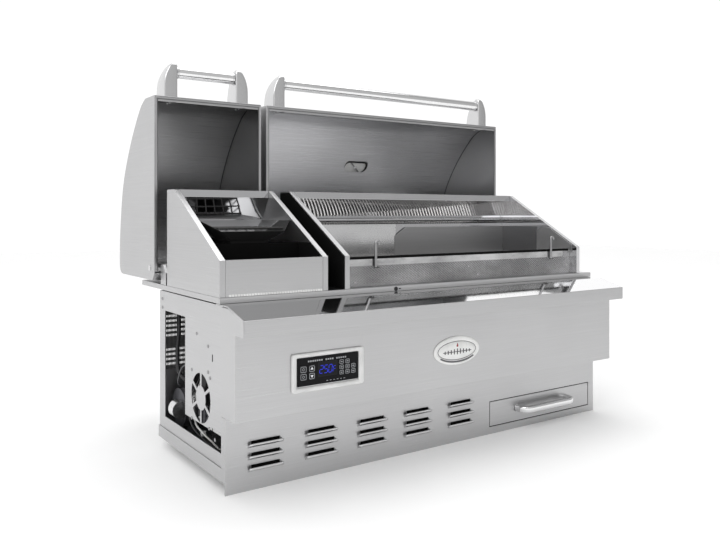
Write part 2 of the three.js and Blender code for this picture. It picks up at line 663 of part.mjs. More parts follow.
piece('control_bezel', controlBezel(), WHITE);
piece('control_panel', controlPanel(), BLACK);
for (const [name, place] of Object.entries(BUTTONS)) piece(name, controlButton(place), BLACK);
piece('badge_plate', badgePlate(), WHITE);

piece('drawer_front', drawerFront(), BRUSHED);
piece('drawer_tray', drawerTray(), ENAMEL);
piece('drawer_handle', drawerHandle(), POLISHED);

piece('hinge_bracket_left', hingeBracket(BRACKETS.left, [-558.5, -541]), BRUSHED);
piece('hinge_bracket_middle', hingeBracket(BRACKETS.middle, [-297, -261.5]), BRUSHED);
piece('hinge_bracket_right', hingeBracket(BRACKETS.right, [506, 526.5]), BRUSHED);

for (const [name, lid] of [['hopper_lid', HOPPER_LID], ['main_lid', MAIN_LID]]) {
  const openings = name === 'main_lid' ? [gaugeHole()] : [];
  const { left, right } = lid;
  const bracket = HANDLE.inset + HANDLE.bracket;
  piece(`${name}_skin`, cut(lidSkin(lid), openings), BRUSHED);
  piece(`${name}_end_left`, lidEnd(left), BRUSHED);
  piece(`${name}_end_right`, lidEnd(right - SHEET), BRUSHED);
  piece(`${name}_liner`, cut(lidLiner(lid), openings), INNER);
  piece(`${name}_bracket_left`, lidBracket(left + HANDLE.inset), POLISHED);
  piece(`${name}_bracket_right`, lidBracket(right - bracket), POLISHED);
  piece(`${name}_handle_tube`, lidTube(lid), POLISHED);
}
piece('main_lid_thermometer', lidThermometer(), POLISHED);

const bounds = new THREE.Box3().setFromObject(grill);
const middle = bounds.getCenter(new THREE.Vector3());
grill.position.set(-middle.x, -middle.y, -bounds.min.z);

export default grill;
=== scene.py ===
"""Built-in pellet smoker grill with both lids open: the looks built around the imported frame.

Lengths are millimetres in the frame's own axes (front towards -Y, +Z up), and become metres
where a mesh is made. Materials are in metres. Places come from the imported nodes' boxes.
"""
from math import copysign, cos, hypot, pi, radians, sin, sqrt

import bmesh
import bpy
from mathutils import Matrix, Vector


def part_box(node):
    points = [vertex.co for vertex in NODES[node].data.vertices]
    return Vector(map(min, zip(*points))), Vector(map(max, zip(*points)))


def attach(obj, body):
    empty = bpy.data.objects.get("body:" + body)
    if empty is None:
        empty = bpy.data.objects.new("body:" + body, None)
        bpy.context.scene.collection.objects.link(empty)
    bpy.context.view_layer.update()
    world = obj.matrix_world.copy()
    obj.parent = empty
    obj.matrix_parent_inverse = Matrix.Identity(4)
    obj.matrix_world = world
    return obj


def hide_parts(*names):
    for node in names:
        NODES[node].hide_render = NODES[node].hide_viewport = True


MM = 0.001
CREASE, BEVEL_FROM = 35, 30  # degrees between faces
WELD_WITHIN = 1e-5
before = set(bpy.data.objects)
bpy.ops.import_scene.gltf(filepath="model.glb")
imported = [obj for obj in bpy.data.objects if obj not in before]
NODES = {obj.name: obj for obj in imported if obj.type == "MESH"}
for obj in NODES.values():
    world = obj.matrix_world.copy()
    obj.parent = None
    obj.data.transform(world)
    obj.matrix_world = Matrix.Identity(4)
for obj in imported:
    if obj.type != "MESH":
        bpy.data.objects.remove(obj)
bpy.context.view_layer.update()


class Span:
    """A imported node's box in millimetres."""

    def __init__(self, node):
        self.x, self.y, self.z = ((a / MM, b / MM) for a, b in zip(*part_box(node)))
        (self.x0, self.x1), (self.y0, self.y1), (self.z0, self.z1) = self.x, self.y, self.z
        self.cx, self.cy, self.cz = (sum(pair) / 2 for pair in (self.x, self.y, self.z))


def add_object(name, data):
    obj = bpy.data.objects.new(name, data)
    bpy.context.scene.collection.objects.link(obj)
    return obj


# ---- camera ----

def place_camera():
    data = bpy.data.cameras.new("camera")
    data.lens, data.sensor_width = 36.4, 36
    data.shift_y = -0.0778
    data.clip_start, data.clip_end = 0.05, 60
    camera = add_object("camera", data)
    camera.location = (-1.0989, -1.5451, 0.529)
    camera.rotation_euler = (radians(90), 0, radians(-34.35))
    bpy.context.scene.camera = camera


place_camera()


# ---- materials ----

class Nodes:
    """A node tree, and short ways to add to it."""

    def __init__(self, holder):
        holder.use_nodes = True
        self.tree = holder.node_tree

    def node(self, kind, links=(), **settings):
        """A new node. Each of its inputs in links takes another node's output, or a plain value."""
        made = self.tree.nodes.new("ShaderNode" + kind)
        for key, value in settings.items():
            setattr(made, key, value)
        for socket, value in dict(links).items():
            if isinstance(value, bpy.types.NodeSocket):
                self.tree.links.new(value, made.inputs[socket])
            else:
                made.inputs[socket].default_value = value
        return made

    def point(self, kind):
        return self.node("TexCoord").outputs[kind]

    def axes(self, vector):
        return self.node("SeparateXYZ", {0: vector}).outputs

    def spread(self, value, low, high, start=0.3, end=0.7):
        """value's range start..end, mapped to low..high."""
        return self.node("MapRange", {"Value": value, "From Min": start, "From Max": end,
                                      "To Min": low, "To Max": high}).outputs[0]

    def calc(self, operation, *values):
        return self.node("Math", dict(enumerate(values)), operation=operation).outputs[0]


def shade(color, factor):
    return tuple(c * factor for c in color)


GRAIN = {"x": (1, 260, 260), "y": (260, 1, 260)}


class Shader(Nodes):
    """A procedural material, built around one Principled shader in object coordinates."""

    def __init__(self, name, color, metallic, roughness, **sockets):
        self.material = bpy.data.materials.new(name)
        super().__init__(self.material)
        self.surface = self.tree.nodes["Principled BSDF"]
        self.color, self.roughness, self.height = color, roughness, None
        plain = {"Base Color": (*color, 1), "Metallic": metallic, "Roughness": roughness, **sockets}
        for socket, value in plain.items():
            self.surface.inputs[socket.replace("_", " ")].default_value = value
        self.place = self.point("Object")

    def join(self, value, socket):
        self.tree.links.new(value, self.surface.inputs[socket])
        return self

    def noise(self, scale, stretch=(1, 1, 1), detail=3.0, rough=0.5):
        """Noise from 0 to 1. scale is in cycles per metre, stretched by axis."""
        at = self.node("Mapping", {"Vector": self.place, "Scale": stretch})
        return self.node("TexNoise", {
            "Vector": at.outputs[0], "Scale": scale, "Detail": detail, "Roughness": rough,
        }).outputs["Fac"]

    def streaks(self, grain):
        return self.noise(6, GRAIN[grain], 4, 0.65)

    def rough(self, *parts):
        """Adds each (value, low, high) to the plain roughness."""
        total = self.roughness
        for value, low, high in parts:
            total = self.calc("ADD", total, self.spread(value, low, high))
        return self.join(total, "Roughness")

    def tint(self, value, other, start=0.35, end=0.7):
        """The colour turns to other as value goes from start to end."""
        mix = self.node("Mix", {"Factor": self.spread(value, 0, 1, start, end)},
                        data_type="RGBA")
        source = self.surface.inputs["Base Color"]
        if source.links:
            self.tree.links.new(source.links[0].from_socket, mix.inputs[6])
        else:
            mix.inputs[6].default_value = (*self.color, 1)
        mix.inputs[7].default_value = (*other, 1)
        return self.join(mix.outputs[2], "Base Color")

    def bump(self, value, depth):
        """Raises the surface by up to depth millimetres where value is 1."""
        links = {"Height": value, "Distance": depth * MM, "Strength": 1.0}
        if self.height is not None:
            links["Normal"] = self.height
        self.height = self.node("Bump", links).outputs[0]
        return self.join(self.height, "Normal")


def brushed(name, color, roughness, grain):
    """Sheet with a rolled-on grain: long fine streaks, and faint clouds from handling."""
    shader = Shader(name, color, 1, roughness, Anisotropic=0.35)
    streak = shader.streaks(grain)
    cloud = shader.noise(5, detail=2)
    return (shader.rough((streak, -0.05, 0.06), (cloud, -0.03, 0.03))
            .tint(streak, shade(color, 0.93)).bump(streak, 0.008)).material


def polished(name, color, roughness, smudge=0.05):
    """Bright metal with hairline scratches and a few wiped-off smudges."""
    shader = Shader(name, color, 1, roughness)
    hair = shader.noise(9, (1, 180, 40), 3, 0.7)
    cloud = shader.noise(11, detail=4)
    return (shader.rough((cloud, -smudge * 0.5, smudge), (hair, -0.01, 0.02))
            .tint(cloud, shade(color, 0.95)).bump(hair, 0.002)).material


def liner_with_painted_shade(name, color, roughness, shade_from, dark):
    """Lining sheet with a fine grain, darkened along X from shade_from to dark, in metres, as painted
    shade, with soot stains in cloudy patches.
    """
    shader = Shader(name, color, 1, roughness, Anisotropic=0.35)
    streak = shader.streaks("x")
    patches = shader.spread(shader.noise(2.6, (1, 0.6, 0.8), 3, 0.55), -0.15, 0.15)
    # Painted shade: the colour darkens along X; the noise patches added to it are soot stains.
    shade_and_stains = shader.calc("ADD", shader.spread(shader.axes(shader.place)["X"], 0, 1, shade_from, dark), patches)
    return (shader.tint(streak, shade(color, 0.93)).tint(shade_and_stains, shade(color, 0.45), 0, 1)
            .rough((streak, -0.05, 0.06)).bump(streak, 0.006)).material


def hopper_with_painted_shade(name, color, roughness, level, near):
    """Steel painted near black as painted shade below a height and before a depth, in metres; rough and not
    metallic there.
    """
    shader = Shader(name, color, 1, roughness)
    axes = shader.axes(shader.place)
    ragged = shader.calc("ADD", axes["Z"], shader.spread(shader.noise(60), -0.004, 0.004))
    low = shader.spread(ragged, 1, 0, level - 0.002, level + 0.002)
    hopper_shade = shader.calc("MAXIMUM", low, shader.spread(axes["Y"], 1, 0, near - 0.01, near))
    # The near-black colour is painted shade deep inside the hopper.
    shader.tint(hopper_shade, (0.008, 0.008, 0.008), 0, 1).rough((hopper_shade, 0, 0.6))
    shader.join(shader.spread(hopper_shade, 1, 0, 0, 1), "Metallic")
    return shader.bump(shader.noise(500), 0.01).material


def folded_ledge(name, color):
    """Brushed sheet whose sloping face is polished smoother, and painted lighter there as a painted
    highlight.
    """
    shader = Shader(name, color, 1, 0.33)
    streak = shader.streaks("x")
    upward = shader.axes(shader.point("Normal"))["Z"]
    polish_and_sheen = shader.spread(upward, 0, 1, 0.9, 0.97)
    # The lighter colour on the upward face is a painted highlight; its lower roughness is the polish.
    return (shader.tint(streak, shade(color, 0.93)).tint(polish_and_sheen, (0.95, 0.95, 0.955), 0, 1)
            .rough((streak, -0.04, 0.04), (polish_and_sheen, 0, -0.26)).bump(streak, 0.004)).material


def hatched(name, color, roughness, pitch, depth, top):
    """Bright sheet rolled with rows of small dimples, pitch in millimetres, up to a height."""
    shader = Shader(name, color, 1, roughness)
    axes = shader.axes(shader.place)
    across, up = (shader.calc("SINE", shader.calc("MULTIPLY", axes[axis], 2 * pi / (size * MM)))
                  for axis, size in (("X", pitch), ("Z", pitch * 0.7)))
    rolled = shader.spread(axes["Z"], 1, 0, top - 0.001, top + 0.001)
    rows = shader.calc("MULTIPLY", shader.calc("MULTIPLY", across, up), rolled)
    cloud = shader.noise(9, (1, 1, 2), 3)
    return (shader.rough((cloud, -0.04, 0.08)).tint(cloud, shade(color, 0.6))
            .bump(rows, depth).bump(cloud, 0.8)).material


def coated(name, color, roughness, speckle, metallic=0.0, worn=(0.16, 0.15, 0.14), **sockets):
    """A dark heat-proof coating: fine orange peel, dull patches and a little wear."""
    shader = Shader(name, color, metallic, roughness, **sockets)
    peel = shader.noise(900, detail=2)
    patch = shader.noise(16, detail=5, rough=0.65)
    return (shader.rough((patch, -0.08, 0.12)).tint(patch, worn, 0.62, 0.82)
            .bump(peel, speckle)).material


def plastic(name, color, roughness, texture, **sockets):
    shader = Shader(name, color, 0, roughness, **sockets)
    grain = shader.noise(1300, detail=2)
    cloud = shader.noise(30, detail=2)
    return (shader.rough((cloud, -0.03, 0.05)).tint(cloud, shade(color, 0.85))
            .bump(grain, texture)).material


def glowing(name, color, strength):
    shader = Shader(name, shade(color, 0.2), 0, 0.3, Emission_Strength=strength,
                    Emission_Color=(*color, 1))
    return shader.tint(shader.noise(900, detail=1), shade(color, 0.1)).material


STEEL = (0.535, 0.535, 0.54)
BRUSHED_X = brushed("brushed_steel_x", STEEL, 0.33, "x")
BRUSHED_Y = brushed("brushed_steel_y", STEEL, 0.33, "y")
MIRROR = polished("polished_steel", (0.86, 0.86, 0.865), 0.06)
SATIN = polished("satin_steel", (0.7, 0.7, 0.705), 0.22)
# Both liners are one steel: the hopper lid's darker colour and each liner's darkening along X are painted
# shade.
LINERS = {"hopper_lid": liner_with_painted_shade("hopper_liner_steel", (0.68, 0.68, 0.685), 0.3, -0.4, -0.25),
          "main_lid": liner_with_painted_shade("main_liner_steel", (0.92, 0.92, 0.93), 0.3, 0.2, 0.52)}
STRIP = polished("mirror_strip", (0.62, 0.62, 0.63), 0.04, 0.02)
SATIN_BRIGHT = polished("satin_bright_steel", (0.68, 0.68, 0.685), 0.2)
PRESSED = polished("pressed_steel", (0.68, 0.68, 0.685), 0.16, 0.02)
# Dark steel for the rear wall's painted reflection.
DARK_REFLECTION_STEEL = brushed("dark_reflection_steel", (0.36, 0.36, 0.365), 0.42, "x")
SCREW = polished("screw_steel", (0.36, 0.36, 0.365), 0.3)
FUNNEL = hopper_with_painted_shade("funnel_steel", (0.5, 0.5, 0.505), 0.3, 0.478, -0.06)
LEDGE = folded_ledge("ledge_steel", STEEL)
DIMPLED = hatched("dimpled_steel", (0.56, 0.56, 0.565), 0.1, 8.0, 1.1, 0.414)
# Dark mirror for the right wall's painted reflection.
DARK_REFLECTION_MIRROR = polished("dark_reflection_mirror", (0.34, 0.34, 0.345), 0.05, 0.02)
ROD = polished("grid_rod_steel", (0.7, 0.69, 0.68), 0.22, 0.08)
SOOTY = coated("sooty_iron", (0.035, 0.034, 0.034), 0.6, 0.03, 0.3)
ENAMEL = coated("black_enamel", (0.022, 0.022, 0.024), 0.42, 0.015)
# Near black with hardly any sheen: mostly painted shade in gaps, slots and behind openings.
VOID = coated("void_black", (0.005, 0.005, 0.005), 0.9, 0.03, worn=(0.012, 0.012, 0.012),
              Specular_IOR_Level=0.08)
SCREEN = coated("vent_screen", (0.12, 0.12, 0.12), 0.7, 0.05, 0.2)
MOTOR = coated("motor_paint", (0.09, 0.09, 0.1), 0.45, 0.02, 0.4)
BLACK = plastic("black_plastic", (0.012, 0.012, 0.013), 0.4, 0.02)
WINDOW = plastic("smoked_window", (0.006, 0.006, 0.007), 0.12, 0.001, Specular_IOR_Level=0.12)
KEY = plastic("key_plastic", (0.01, 0.01, 0.012), 0.3, 0.004, Specular_IOR_Level=0.15)
BEZEL = plastic("bezel_plastic", (0.82, 0.82, 0.815), 0.35, 0.01)
PRINT = plastic("printed_grey", (0.42, 0.43, 0.45), 0.5, 0.004)
BRIGHT_PRINT = plastic("printed_white", (0.85, 0.87, 0.9), 0.5, 0.004)
DIAL = plastic("dial_enamel", (0.86, 0.86, 0.84), 0.3, 0.002)
BADGE = plastic("badge_enamel", (0.92, 0.92, 0.91), 0.28, 0.004, Coat_Weight=0.3)
BADGE_INK = coated("badge_ink", (0.12, 0.12, 0.125), 0.5, 0.01)
BADGE_RED = coated("badge_red", (0.3, 0.03, 0.04), 0.4, 0.01)
DIGITS = glowing("blue_digits", (0.008, 0.03, 0.8), 0.95)
RUBBER = plastic("wire_rubber", (0.02, 0.02, 0.022), 0.55, 0.02)
WIRES = {name: plastic(f"wire_{name}", color, 0.45, 0.01) for name, color in (
    ("grey", (0.1, 0.1, 0.105)), ("white", (0.6, 0.6, 0.585)), ("black", (0.015, 0.015, 0.016)))}
GLASS = plastic("gauge_glass", (0.9, 0.92, 0.93), 0.03, 0.0, Transmission_Weight=1.0, IOR=1.45)

# The record's material slot for each material; piece() works one out, or takes the one it is told, but sets
# it nowhere.
SLOT_OF = {material: slot for slot, materials in {
    "brushed_stainless": (BRUSHED_X, BRUSHED_Y, SATIN, SCREW, PRESSED),
    "polished_stainless": (MIRROR, SATIN_BRIGHT),
    "inner_stainless": (*LINERS.values(), DARK_REFLECTION_STEEL, DARK_REFLECTION_MIRROR),
    "grid_iron": (ROD,),
    "dark_enamel": (SOOTY, VOID, SCREEN, MOTOR, BADGE_INK),
    "black_plastic": (BLACK, RUBBER, *WIRES.values()),
    "display_plastic": (DIGITS, KEY, PRINT, BRIGHT_PRINT),
    "bezel_plastic": (BEZEL, DIAL),
    "badge_metal": (BADGE, BADGE_RED),
}.items() for material in materials}


# ---- mesh helpers ----

def edit_mesh(mesh, change):
    bm = bmesh.new()
    bm.from_mesh(mesh)
    change(bm)
    bm.to_mesh(mesh)
    bm.free()


def mesh_of(name, parts):
    """One mesh from closed parts, each (vertices in mm, faces)."""
    vertices, faces = [], []
    for points, polygons in parts:
        start = len(vertices)
        vertices += [[c * MM for c in p] for p in points]
        faces += [[start + i for i in polygon] for polygon in polygons]
    mesh = bpy.data.meshes.new(name)
    mesh.from_pydata(vertices, [], faces)
    edit_mesh(mesh, lambda bm: bmesh.ops.recalc_face_normals(bm, faces=bm.faces))
    return mesh


def smooth(obj, degrees=CREASE):
    """Smooth shading, with creases kept sharp where faces meet at more than degrees."""
    def crease(bm):
        for edge in bm.edges:
            edge.smooth = len(edge.link_faces) == 2 and edge.calc_face_angle(0) < radians(degrees)

    obj.data.shade_smooth()
    edit_mesh(obj.data, crease)


def bevel(obj, width, segments=2):
    made = obj.modifiers.new("bevel", "BEVEL")
    made.width, made.segments = width * MM, segments
    made.limit_method, made.angle_limit = "ANGLE", radians(BEVEL_FROM)
    made.harden_normals = False


def piece(name, parts, material, body="cabinet", replaces=None, edge=0.0, segments=2,
          sharp=CREASE, slot=None):
    """One object from closed parts. It rides on a body, and may stand for a CAD node."""
    obj = add_object(name, mesh_of(name, parts))
    smooth(obj, sharp)
    if edge:
        bevel(obj, edge, segments)
    obj.data.materials.append(material)
    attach(obj, body)
    slot = slot or SLOT_OF.get(material)
    if replaces:
        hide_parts(replaces)
    return obj


def cut_with(obj, cutters):
    """Cuts closed parts out of an object and keeps the result as its plain mesh."""
    tool = add_object("cutter", mesh_of("cutter", cutters))
    made = obj.modifiers.new("cut", "BOOLEAN")
    made.object, made.operation, made.solver, made.use_self = tool, "DIFFERENCE", "EXACT", True
    obj.modifiers.move(len(obj.modifiers) - 1, 0)
    kept = [m for m in obj.modifiers if m != made]
    for modifier in kept:
        modifier.show_viewport = False
    bpy.context.view_layer.update()
    result = obj.evaluated_get(bpy.context.evaluated_depsgraph_get())
    mesh = bpy.data.meshes.new_from_object(result)
    obj.modifiers.remove(made)
    obj.data = mesh
    for modifier in kept:
        modifier.show_viewport = True
    bpy.data.objects.remove(tool)
    smooth(obj)


def loft(rings, closed=False):
    """Joins rings of equal length into a skin, capped at both ends unless it closes on itself."""
    size = len(rings[0])
    points = [p for ring in rings for p in ring]
    faces = []
    for r in range(len(rings) if closed else len(rings) - 1):
        a, b = r * size, ((r + 1) % len(rings)) * size
        faces += [[a + k, a + (k + 1) % size, b + (k + 1) % size, b + k] for k in range(size)]
    if not closed:
        faces += [list(range(size))[::-1], [(len(rings) - 1) * size + k for k in range(size)]]
    return points, faces


AXES = {"x": lambda u, v, w: (w, u, v), "y": lambda u, v, w: (u, w, v), "z": lambda u, v, w: (u, v, w)}


def stack(axis, layers, closed=False):
    """A skin through flat outlines, each (outline, distance along the axis).

    An outline is (Y, Z) along x, (X, Z) along y, (X, Y) along z.
    """
    return loft([[AXES[axis](u, v, w) for u, v in outline] for outline, w in layers], closed)


def prism(axis, outline, low, high):
    return stack(axis, [(outline, low), (outline, high)])


def frame_ring(axis, outer, inner, low, high):
    """A flat frame between two outlines of equal length."""
    return stack(axis, [(outer, low), (outer, high), (inner, high), (inner, low)], closed=True)


def about(middle, half):
    return middle - half, middle + half


def inward(pair, gap):
    return pair[0] + gap, pair[1] - gap


def rectangle(u, v):
    return [(u[0], v[0]), (u[1], v[0]), (u[1], v[1]), (u[0], v[1])]


def block(x, y, z):
    return prism("z", rectangle(x, y), *z)


def row(start, end, step, reach, y, z):
    """Equal small blocks in a row along X."""
    return [block((x, x + reach), y, z) for x in range(int(start), int(end), step)]


def oval(centre, half, sides=48):
    return [(centre[0] + half[0] * cos(2 * pi * k / sides), centre[1] + half[1] * sin(2 * pi * k / sides))
            for k in range(sides)]


def ring_of(radius, sides):
    return oval((0, 0), (radius, radius), sides)


def rounded_box(u, v, radius, steps=6):
    """The outline of a rectangle with rounded corners."""
    corners = ((u[1] - radius, v[0] + radius, -90), (u[1] - radius, v[1] - radius, 0),
               (u[0] + radius, v[1] - radius, 90), (u[0] + radius, v[0] + radius, 180))
    return [(cu + radius * cos(radians(start + 90 * k / steps)),
             cv + radius * sin(radians(start + 90 * k / steps)))
            for cu, cv, start in corners for k in range(steps + 1)]


def turned(axis, centre, profile, sides=40, wide=1.0):
    """A turned part: profile is (radius, along). centre is the two other coordinates."""
    return stack(axis, [(oval(centre, (radius * wide, radius), sides), along)
                        for radius, along in profile])


def headings(path):
    """Each point of a path, with its direction there."""
    points = [Vector(p) for p in path]
    return [(point, (points[min(i + 1, len(points) - 1)] - points[max(i - 1, 0)]).normalized())
            for i, point in enumerate(points)]


def swept(path, section, up=(0, 0, 1)):
    """Sweeps a section (sideways, up) along a path that never runs along up."""
    rings = []
    for point, ahead in headings(path):
        side = ahead.cross(Vector(up)).normalized()
        top = side.cross(ahead)
        rings.append([tuple(point + side * s + top * t) for s, t in section])
    return loft(rings)


def rod(a, b, radius, sides=10):
    ahead = (Vector(b) - Vector(a)).normalized()
    up = (0, 0, 1) if abs(ahead.z) < 0.9 else (1, 0, 0)
    return swept([a, b], ring_of(radius, sides), up)


def catmull(points, steps):
    """A smooth curve through the points."""
    made = []
    for i in range(len(points) - 1):
        p0, p1, p2, p3 = (points[max(0, min(len(points) - 1, k))] for k in (i - 1, i, i + 1, i + 2))
        for s in range(steps):
            t = s / steps
            made.append(tuple(
                0.5 * (2 * b + (c - a) * t + (2 * a - 5 * b + 4 * c - d) * t * t
                       + (3 * b - a - 3 * c + d) * t ** 3)
                for a, b, c, d in zip(p0, p1, p2, p3)))
    return made + [tuple(points[-1])]


def tube_along(points, radius, sides=12, steps=10):
    """A wire or tube through the points, kept round by carrying its cross direction along."""
    side = None
    rings = []
    for point, ahead in headings(catmull(points, steps)):
        if side is None:
            side = ahead.orthogonal().normalized()
        side = (side - ahead * side.dot(ahead)).normalized()
        up = ahead.cross(side)
        rings.append([tuple(point + side * u + up * v) for u, v in ring_of(radius, sides)])
    return loft(rings)


def rounded_path(corners, radius, steps):
    """A line through corners, each inner one rounded."""
    points = [tuple(corners[0])]
    for a, b, c in zip(corners, corners[1:], corners[2:]):
        a, b, c = Vector(a), Vector(b), Vector(c)
        start, end = b + (a - b).normalized() * radius, b + (c - b).normalized() * radius
        points += [tuple(start * (1 - t) ** 2 + b * 2 * t * (1 - t) + end * t * t)
                   for t in (k / steps for k in range(steps + 1))]
    return points + [tuple(corners[-1])]


def screw(x, y, z, facing, radius=4.2, height=2.0):
    """A pan-head screw with a recess, its head towards facing, such as '-x'."""
    sign, axis = (-1 if facing[0] == "-" else 1), facing[1]
    centre, start = {"x": ((y, z), x), "y": ((x, z), y), "z": ((x, y), z)}[axis]
    dome = ((1, 0), (1, 0.35), (0.82, 0.8), (0.5, 1), (0.42, 1), (0.3, 0.45))
    return turned(axis, centre, [(radius * r, start + sign * height * h) for r, h in dome], 20)


# ---- lids ----
# A lid's shape is drawn by (forward, up) from its hinge as it lies closed; standing open,
# forward points up and up points to the rear.

SHEET = 2.0
LID_WALL = 8.0
LINER_SHEET = 1.5
LID_FRONT = 396
RIM_TOP = 13.0
HINGE_Z = 404.5
PIN_UP, PIN_HOLE, LINER_HOLE = 31, 4.8, 7.5
LID_RIM = Span("main_lid_skin").y0
GAUGE_FORWARD, GAUGE_HALF = 268.0, (41.0, 15.5)


def lid_profile():
    start, control, end = (-28, 238), (-28, 268), (-4, 269.5)
    rear = [tuple(a * (1 - t) ** 2 + 2 * b * t * (1 - t) + c * t * t
                  for a, b, c in zip(start, control, end)) for t in (k / 10 for k in range(10))]
    top = catmull([end, (82, 265), (198, 239), (295, 180), (372, 108), (LID_FRONT, 66)], 10)
    return [(-12, 0), (-28, 13)] + rear + top + [(LID_FRONT, 0)]


LID = lid_profile()


def opened(forward, up):
    return LID_RIM + up, HINGE_Z + forward


def inset(line, depth):
    """The line moved inwards by depth, its two ends kept on the rim."""
    made = []
    for i, point in enumerate(line):
        normals = []
        for p, q in zip(line[max(i - 1, 0):i + 1], line[max(i, 1):i + 2]):
            if p != q:
                length = hypot(q[0] - p[0], q[1] - p[1])
                normals.append(((q[1] - p[1]) / length, -(q[0] - p[0]) / length))
        n = tuple(sum(v) / len(normals) for v in zip(*normals))
        scale = depth / max(0.3, n[0] ** 2 + n[1] ** 2)
        made.append((point[0] + n[0] * scale, point[1] + n[1] * scale))
    made[0] = (made[0][0], 0)
    made[-1] = (made[-1][0], 0)
    return made


def shell(x0, x1, outer, inner):
    """A curved sheet between two lid lines, from x0 to x1."""
    line = [opened(*p) for p in outer] + [opened(*p) for p in reversed(inner)]
    points = [(x, *p) for x in (x0, x1) for p in line]
    size = len(line)
    faces = [[k, (k + 1) % size, size + (k + 1) % size, size + k] for k in range(size)]
    for start, order in ((0, 1), (size, -1)):
        for k in range(len(outer) - 1):
            quad = [k, k + 1, size - 2 - k, size - 1 - k]
            faces.append([start + i for i in quad][::order])
    return points, faces


def pin_bore(radius, x0, x1):
    return turned("x", opened(0, PIN_UP), [(radius, x0), (radius, x1)], 24)


def lid_pieces(body):
    skin, left, right = (Span(f"{body}_{part}") for part in ("skin", "end_left", "end_right"))
    cover = piece(f"{body}_cover", [shell(*skin.x, LID, inset(LID, SHEET))], BRUSHED_X,
                  body, f"{body}_skin", 0.5)
    inside = (left.x0 + LID_WALL, right.x1 - LID_WALL)
    deep, deeper = inset(LID, LID_WALL - LINER_SHEET), inset(LID, LID_WALL)
    liner = piece(f"{body}_inner_liner", [shell(*inside, deep, deeper)], LINERS[body], body,
                  f"{body}_liner")
    outline = [opened(*p) for p in deep]
    ends = piece(f"{body}_liner_ends", [prism("x", outline, x, x + LINER_SHEET)
                                        for x in (inside[0] - LINER_SHEET, inside[1])],
                 LINERS[body], body)
    cut_with(ends, [pin_bore(LINER_HOLE, left.x0, right.x1)])
    corner = [opened(*p) for p in deeper[2:-1]]
    beads = [tube_along([(x, *p) for p in corner], 1.1, 8, 1) for x in inward(inside, 0.6)]
    piece(f"{body}_corner_beads", beads, SOOTY, body)
    rim_top = HINGE_Z + LID_FRONT - RIM_TOP
    rim = frame_ring("y", rectangle(skin.x, (HINGE_Z - 7.5, HINGE_Z + LID_FRONT - 2.5)),
                     rectangle(inside, (HINGE_Z + 2, rim_top)), LID_RIM, LID_RIM + 1.5)
    piece(f"{body}_rim_hem", [rim], BRUSHED_X, body, edge=0.4)
    washers = [screw(Span(f"{body}_bracket_{side}").cx, LID_RIM + 5, rim_top + 0.8, "-z", 7, 1.6)
               for side in ("left", "right")]
    piece(f"{body}_bracket_washers", washers, SCREW, body)
    outline = [opened(*p) for p in LID]
    for side, span in (("left", left), ("right", right)):
        cheek = piece(f"{body}_cheek_{side}", [prism("x", outline, *span.x)], BRUSHED_Y,
                      body, f"{body}_end_{side}", 0.45)
        cut_with(cheek, [pin_bore(PIN_HOLE, span.x0 - 1, span.x1 + 1)])
    return cover, liner


def rounded_bracket(body, side):
    """A cast handle bracket, lofted from level sections: its outer corner rounds off upwards."""
    span = Span(f"{body}_bracket_{side}")
    outward = -1 if side == "left" else 1
    inner = span.x1 if side == "left" else span.x0
    foot, top = span.z0 + 0.2, span.z1 + 1.5
    width, depth = span.x1 - span.x0 + 5, span.y1 - span.y0
    layers = []
    for k in range(25):
        t = sin(pi / 2 * k / 24)
        across = width * (1 - max(0, (t - 0.3) / 0.7) ** 2.4 * 0.62)
        deep = depth * (1 - 0.62 * t ** 2.2)
        close = max(0, (t - 0.88) / 0.12)
        pull = 7.5 * (1 - sqrt(max(0, 1 - close ** 2)))
        x = sorted((inner + outward * pull, inner + outward * (across - pull * 0.7)))
        y = (span.y0 + pull * 1.1, span.y0 + deep - pull * 0.7)
        layers.append((rounded_box(x, y, 4.0, 5), foot + (top - foot) * t))
    piece(f"{body}_handle_bracket_{side}", [stack("z", layers)], SATIN_BRIGHT, body,
          f"{body}_bracket_{side}", sharp=60)


def handle_pieces(body):
    tube = Span(f"{body}_handle_tube")
    radius = (tube.z1 - tube.z0) / 2
    centre = (tube.cy, tube.cz)
    profile = [(radius - 1.5, tube.x0), (radius, tube.x0 + 1), (radius, tube.x1 - 1),
               (radius - 1.5, tube.x1)]
    piece(f"{body}_grip", [turned("x", centre, profile, 64)], MIRROR, body, f"{body}_handle_tube")
    collar = ((-0.5, 2), (0.7, 2.6), (0.7, 6), (-0.5, 6.6))
    collars = [turned("x", centre, [(radius + more, x + way * along) for more, along in collar], 48)
               for x, way in ((tube.x0, 1), (tube.x1, -1))]
    piece(f"{body}_grip_collars", collars, SATIN, body, slot="polished_stainless")
    bolts = []
    for side in ("left", "right"):
        rounded_bracket(body, side)
        span = Span(f"{body}_bracket_{side}")
        bolts += [screw(span.cx, y, span.z0 - 9.7, "-z", 4.5, 2.2)
                  for y in (span.cy - 14, span.cy + 4)]
    piece(f"{body}_bracket_bolts", bolts, SATIN, body)


def tick_mark(centre, angle, near, far, width, base, top):
    """A dial mark as a thin slab, in the dial's own (across, along, out) axes."""
    ahead, aside = cos(radians(angle)), sin(radians(angle))
    outline = [(centre[0] + r * ahead - s * aside, centre[1] + r * aside + s * ahead)
               for r, s in rectangle((near, far), (-width / 2, width / 2))]
    return prism("z", outline, base, top)


def gauge_slot(x, z, gap=0.0):
    """The opening that shows the thermometer's back, smaller by gap all round."""
    wide, tall = (half - gap for half in GAUGE_HALF)
    return rounded_box(about(x, wide), about(z, tall), tall - 2, 10)


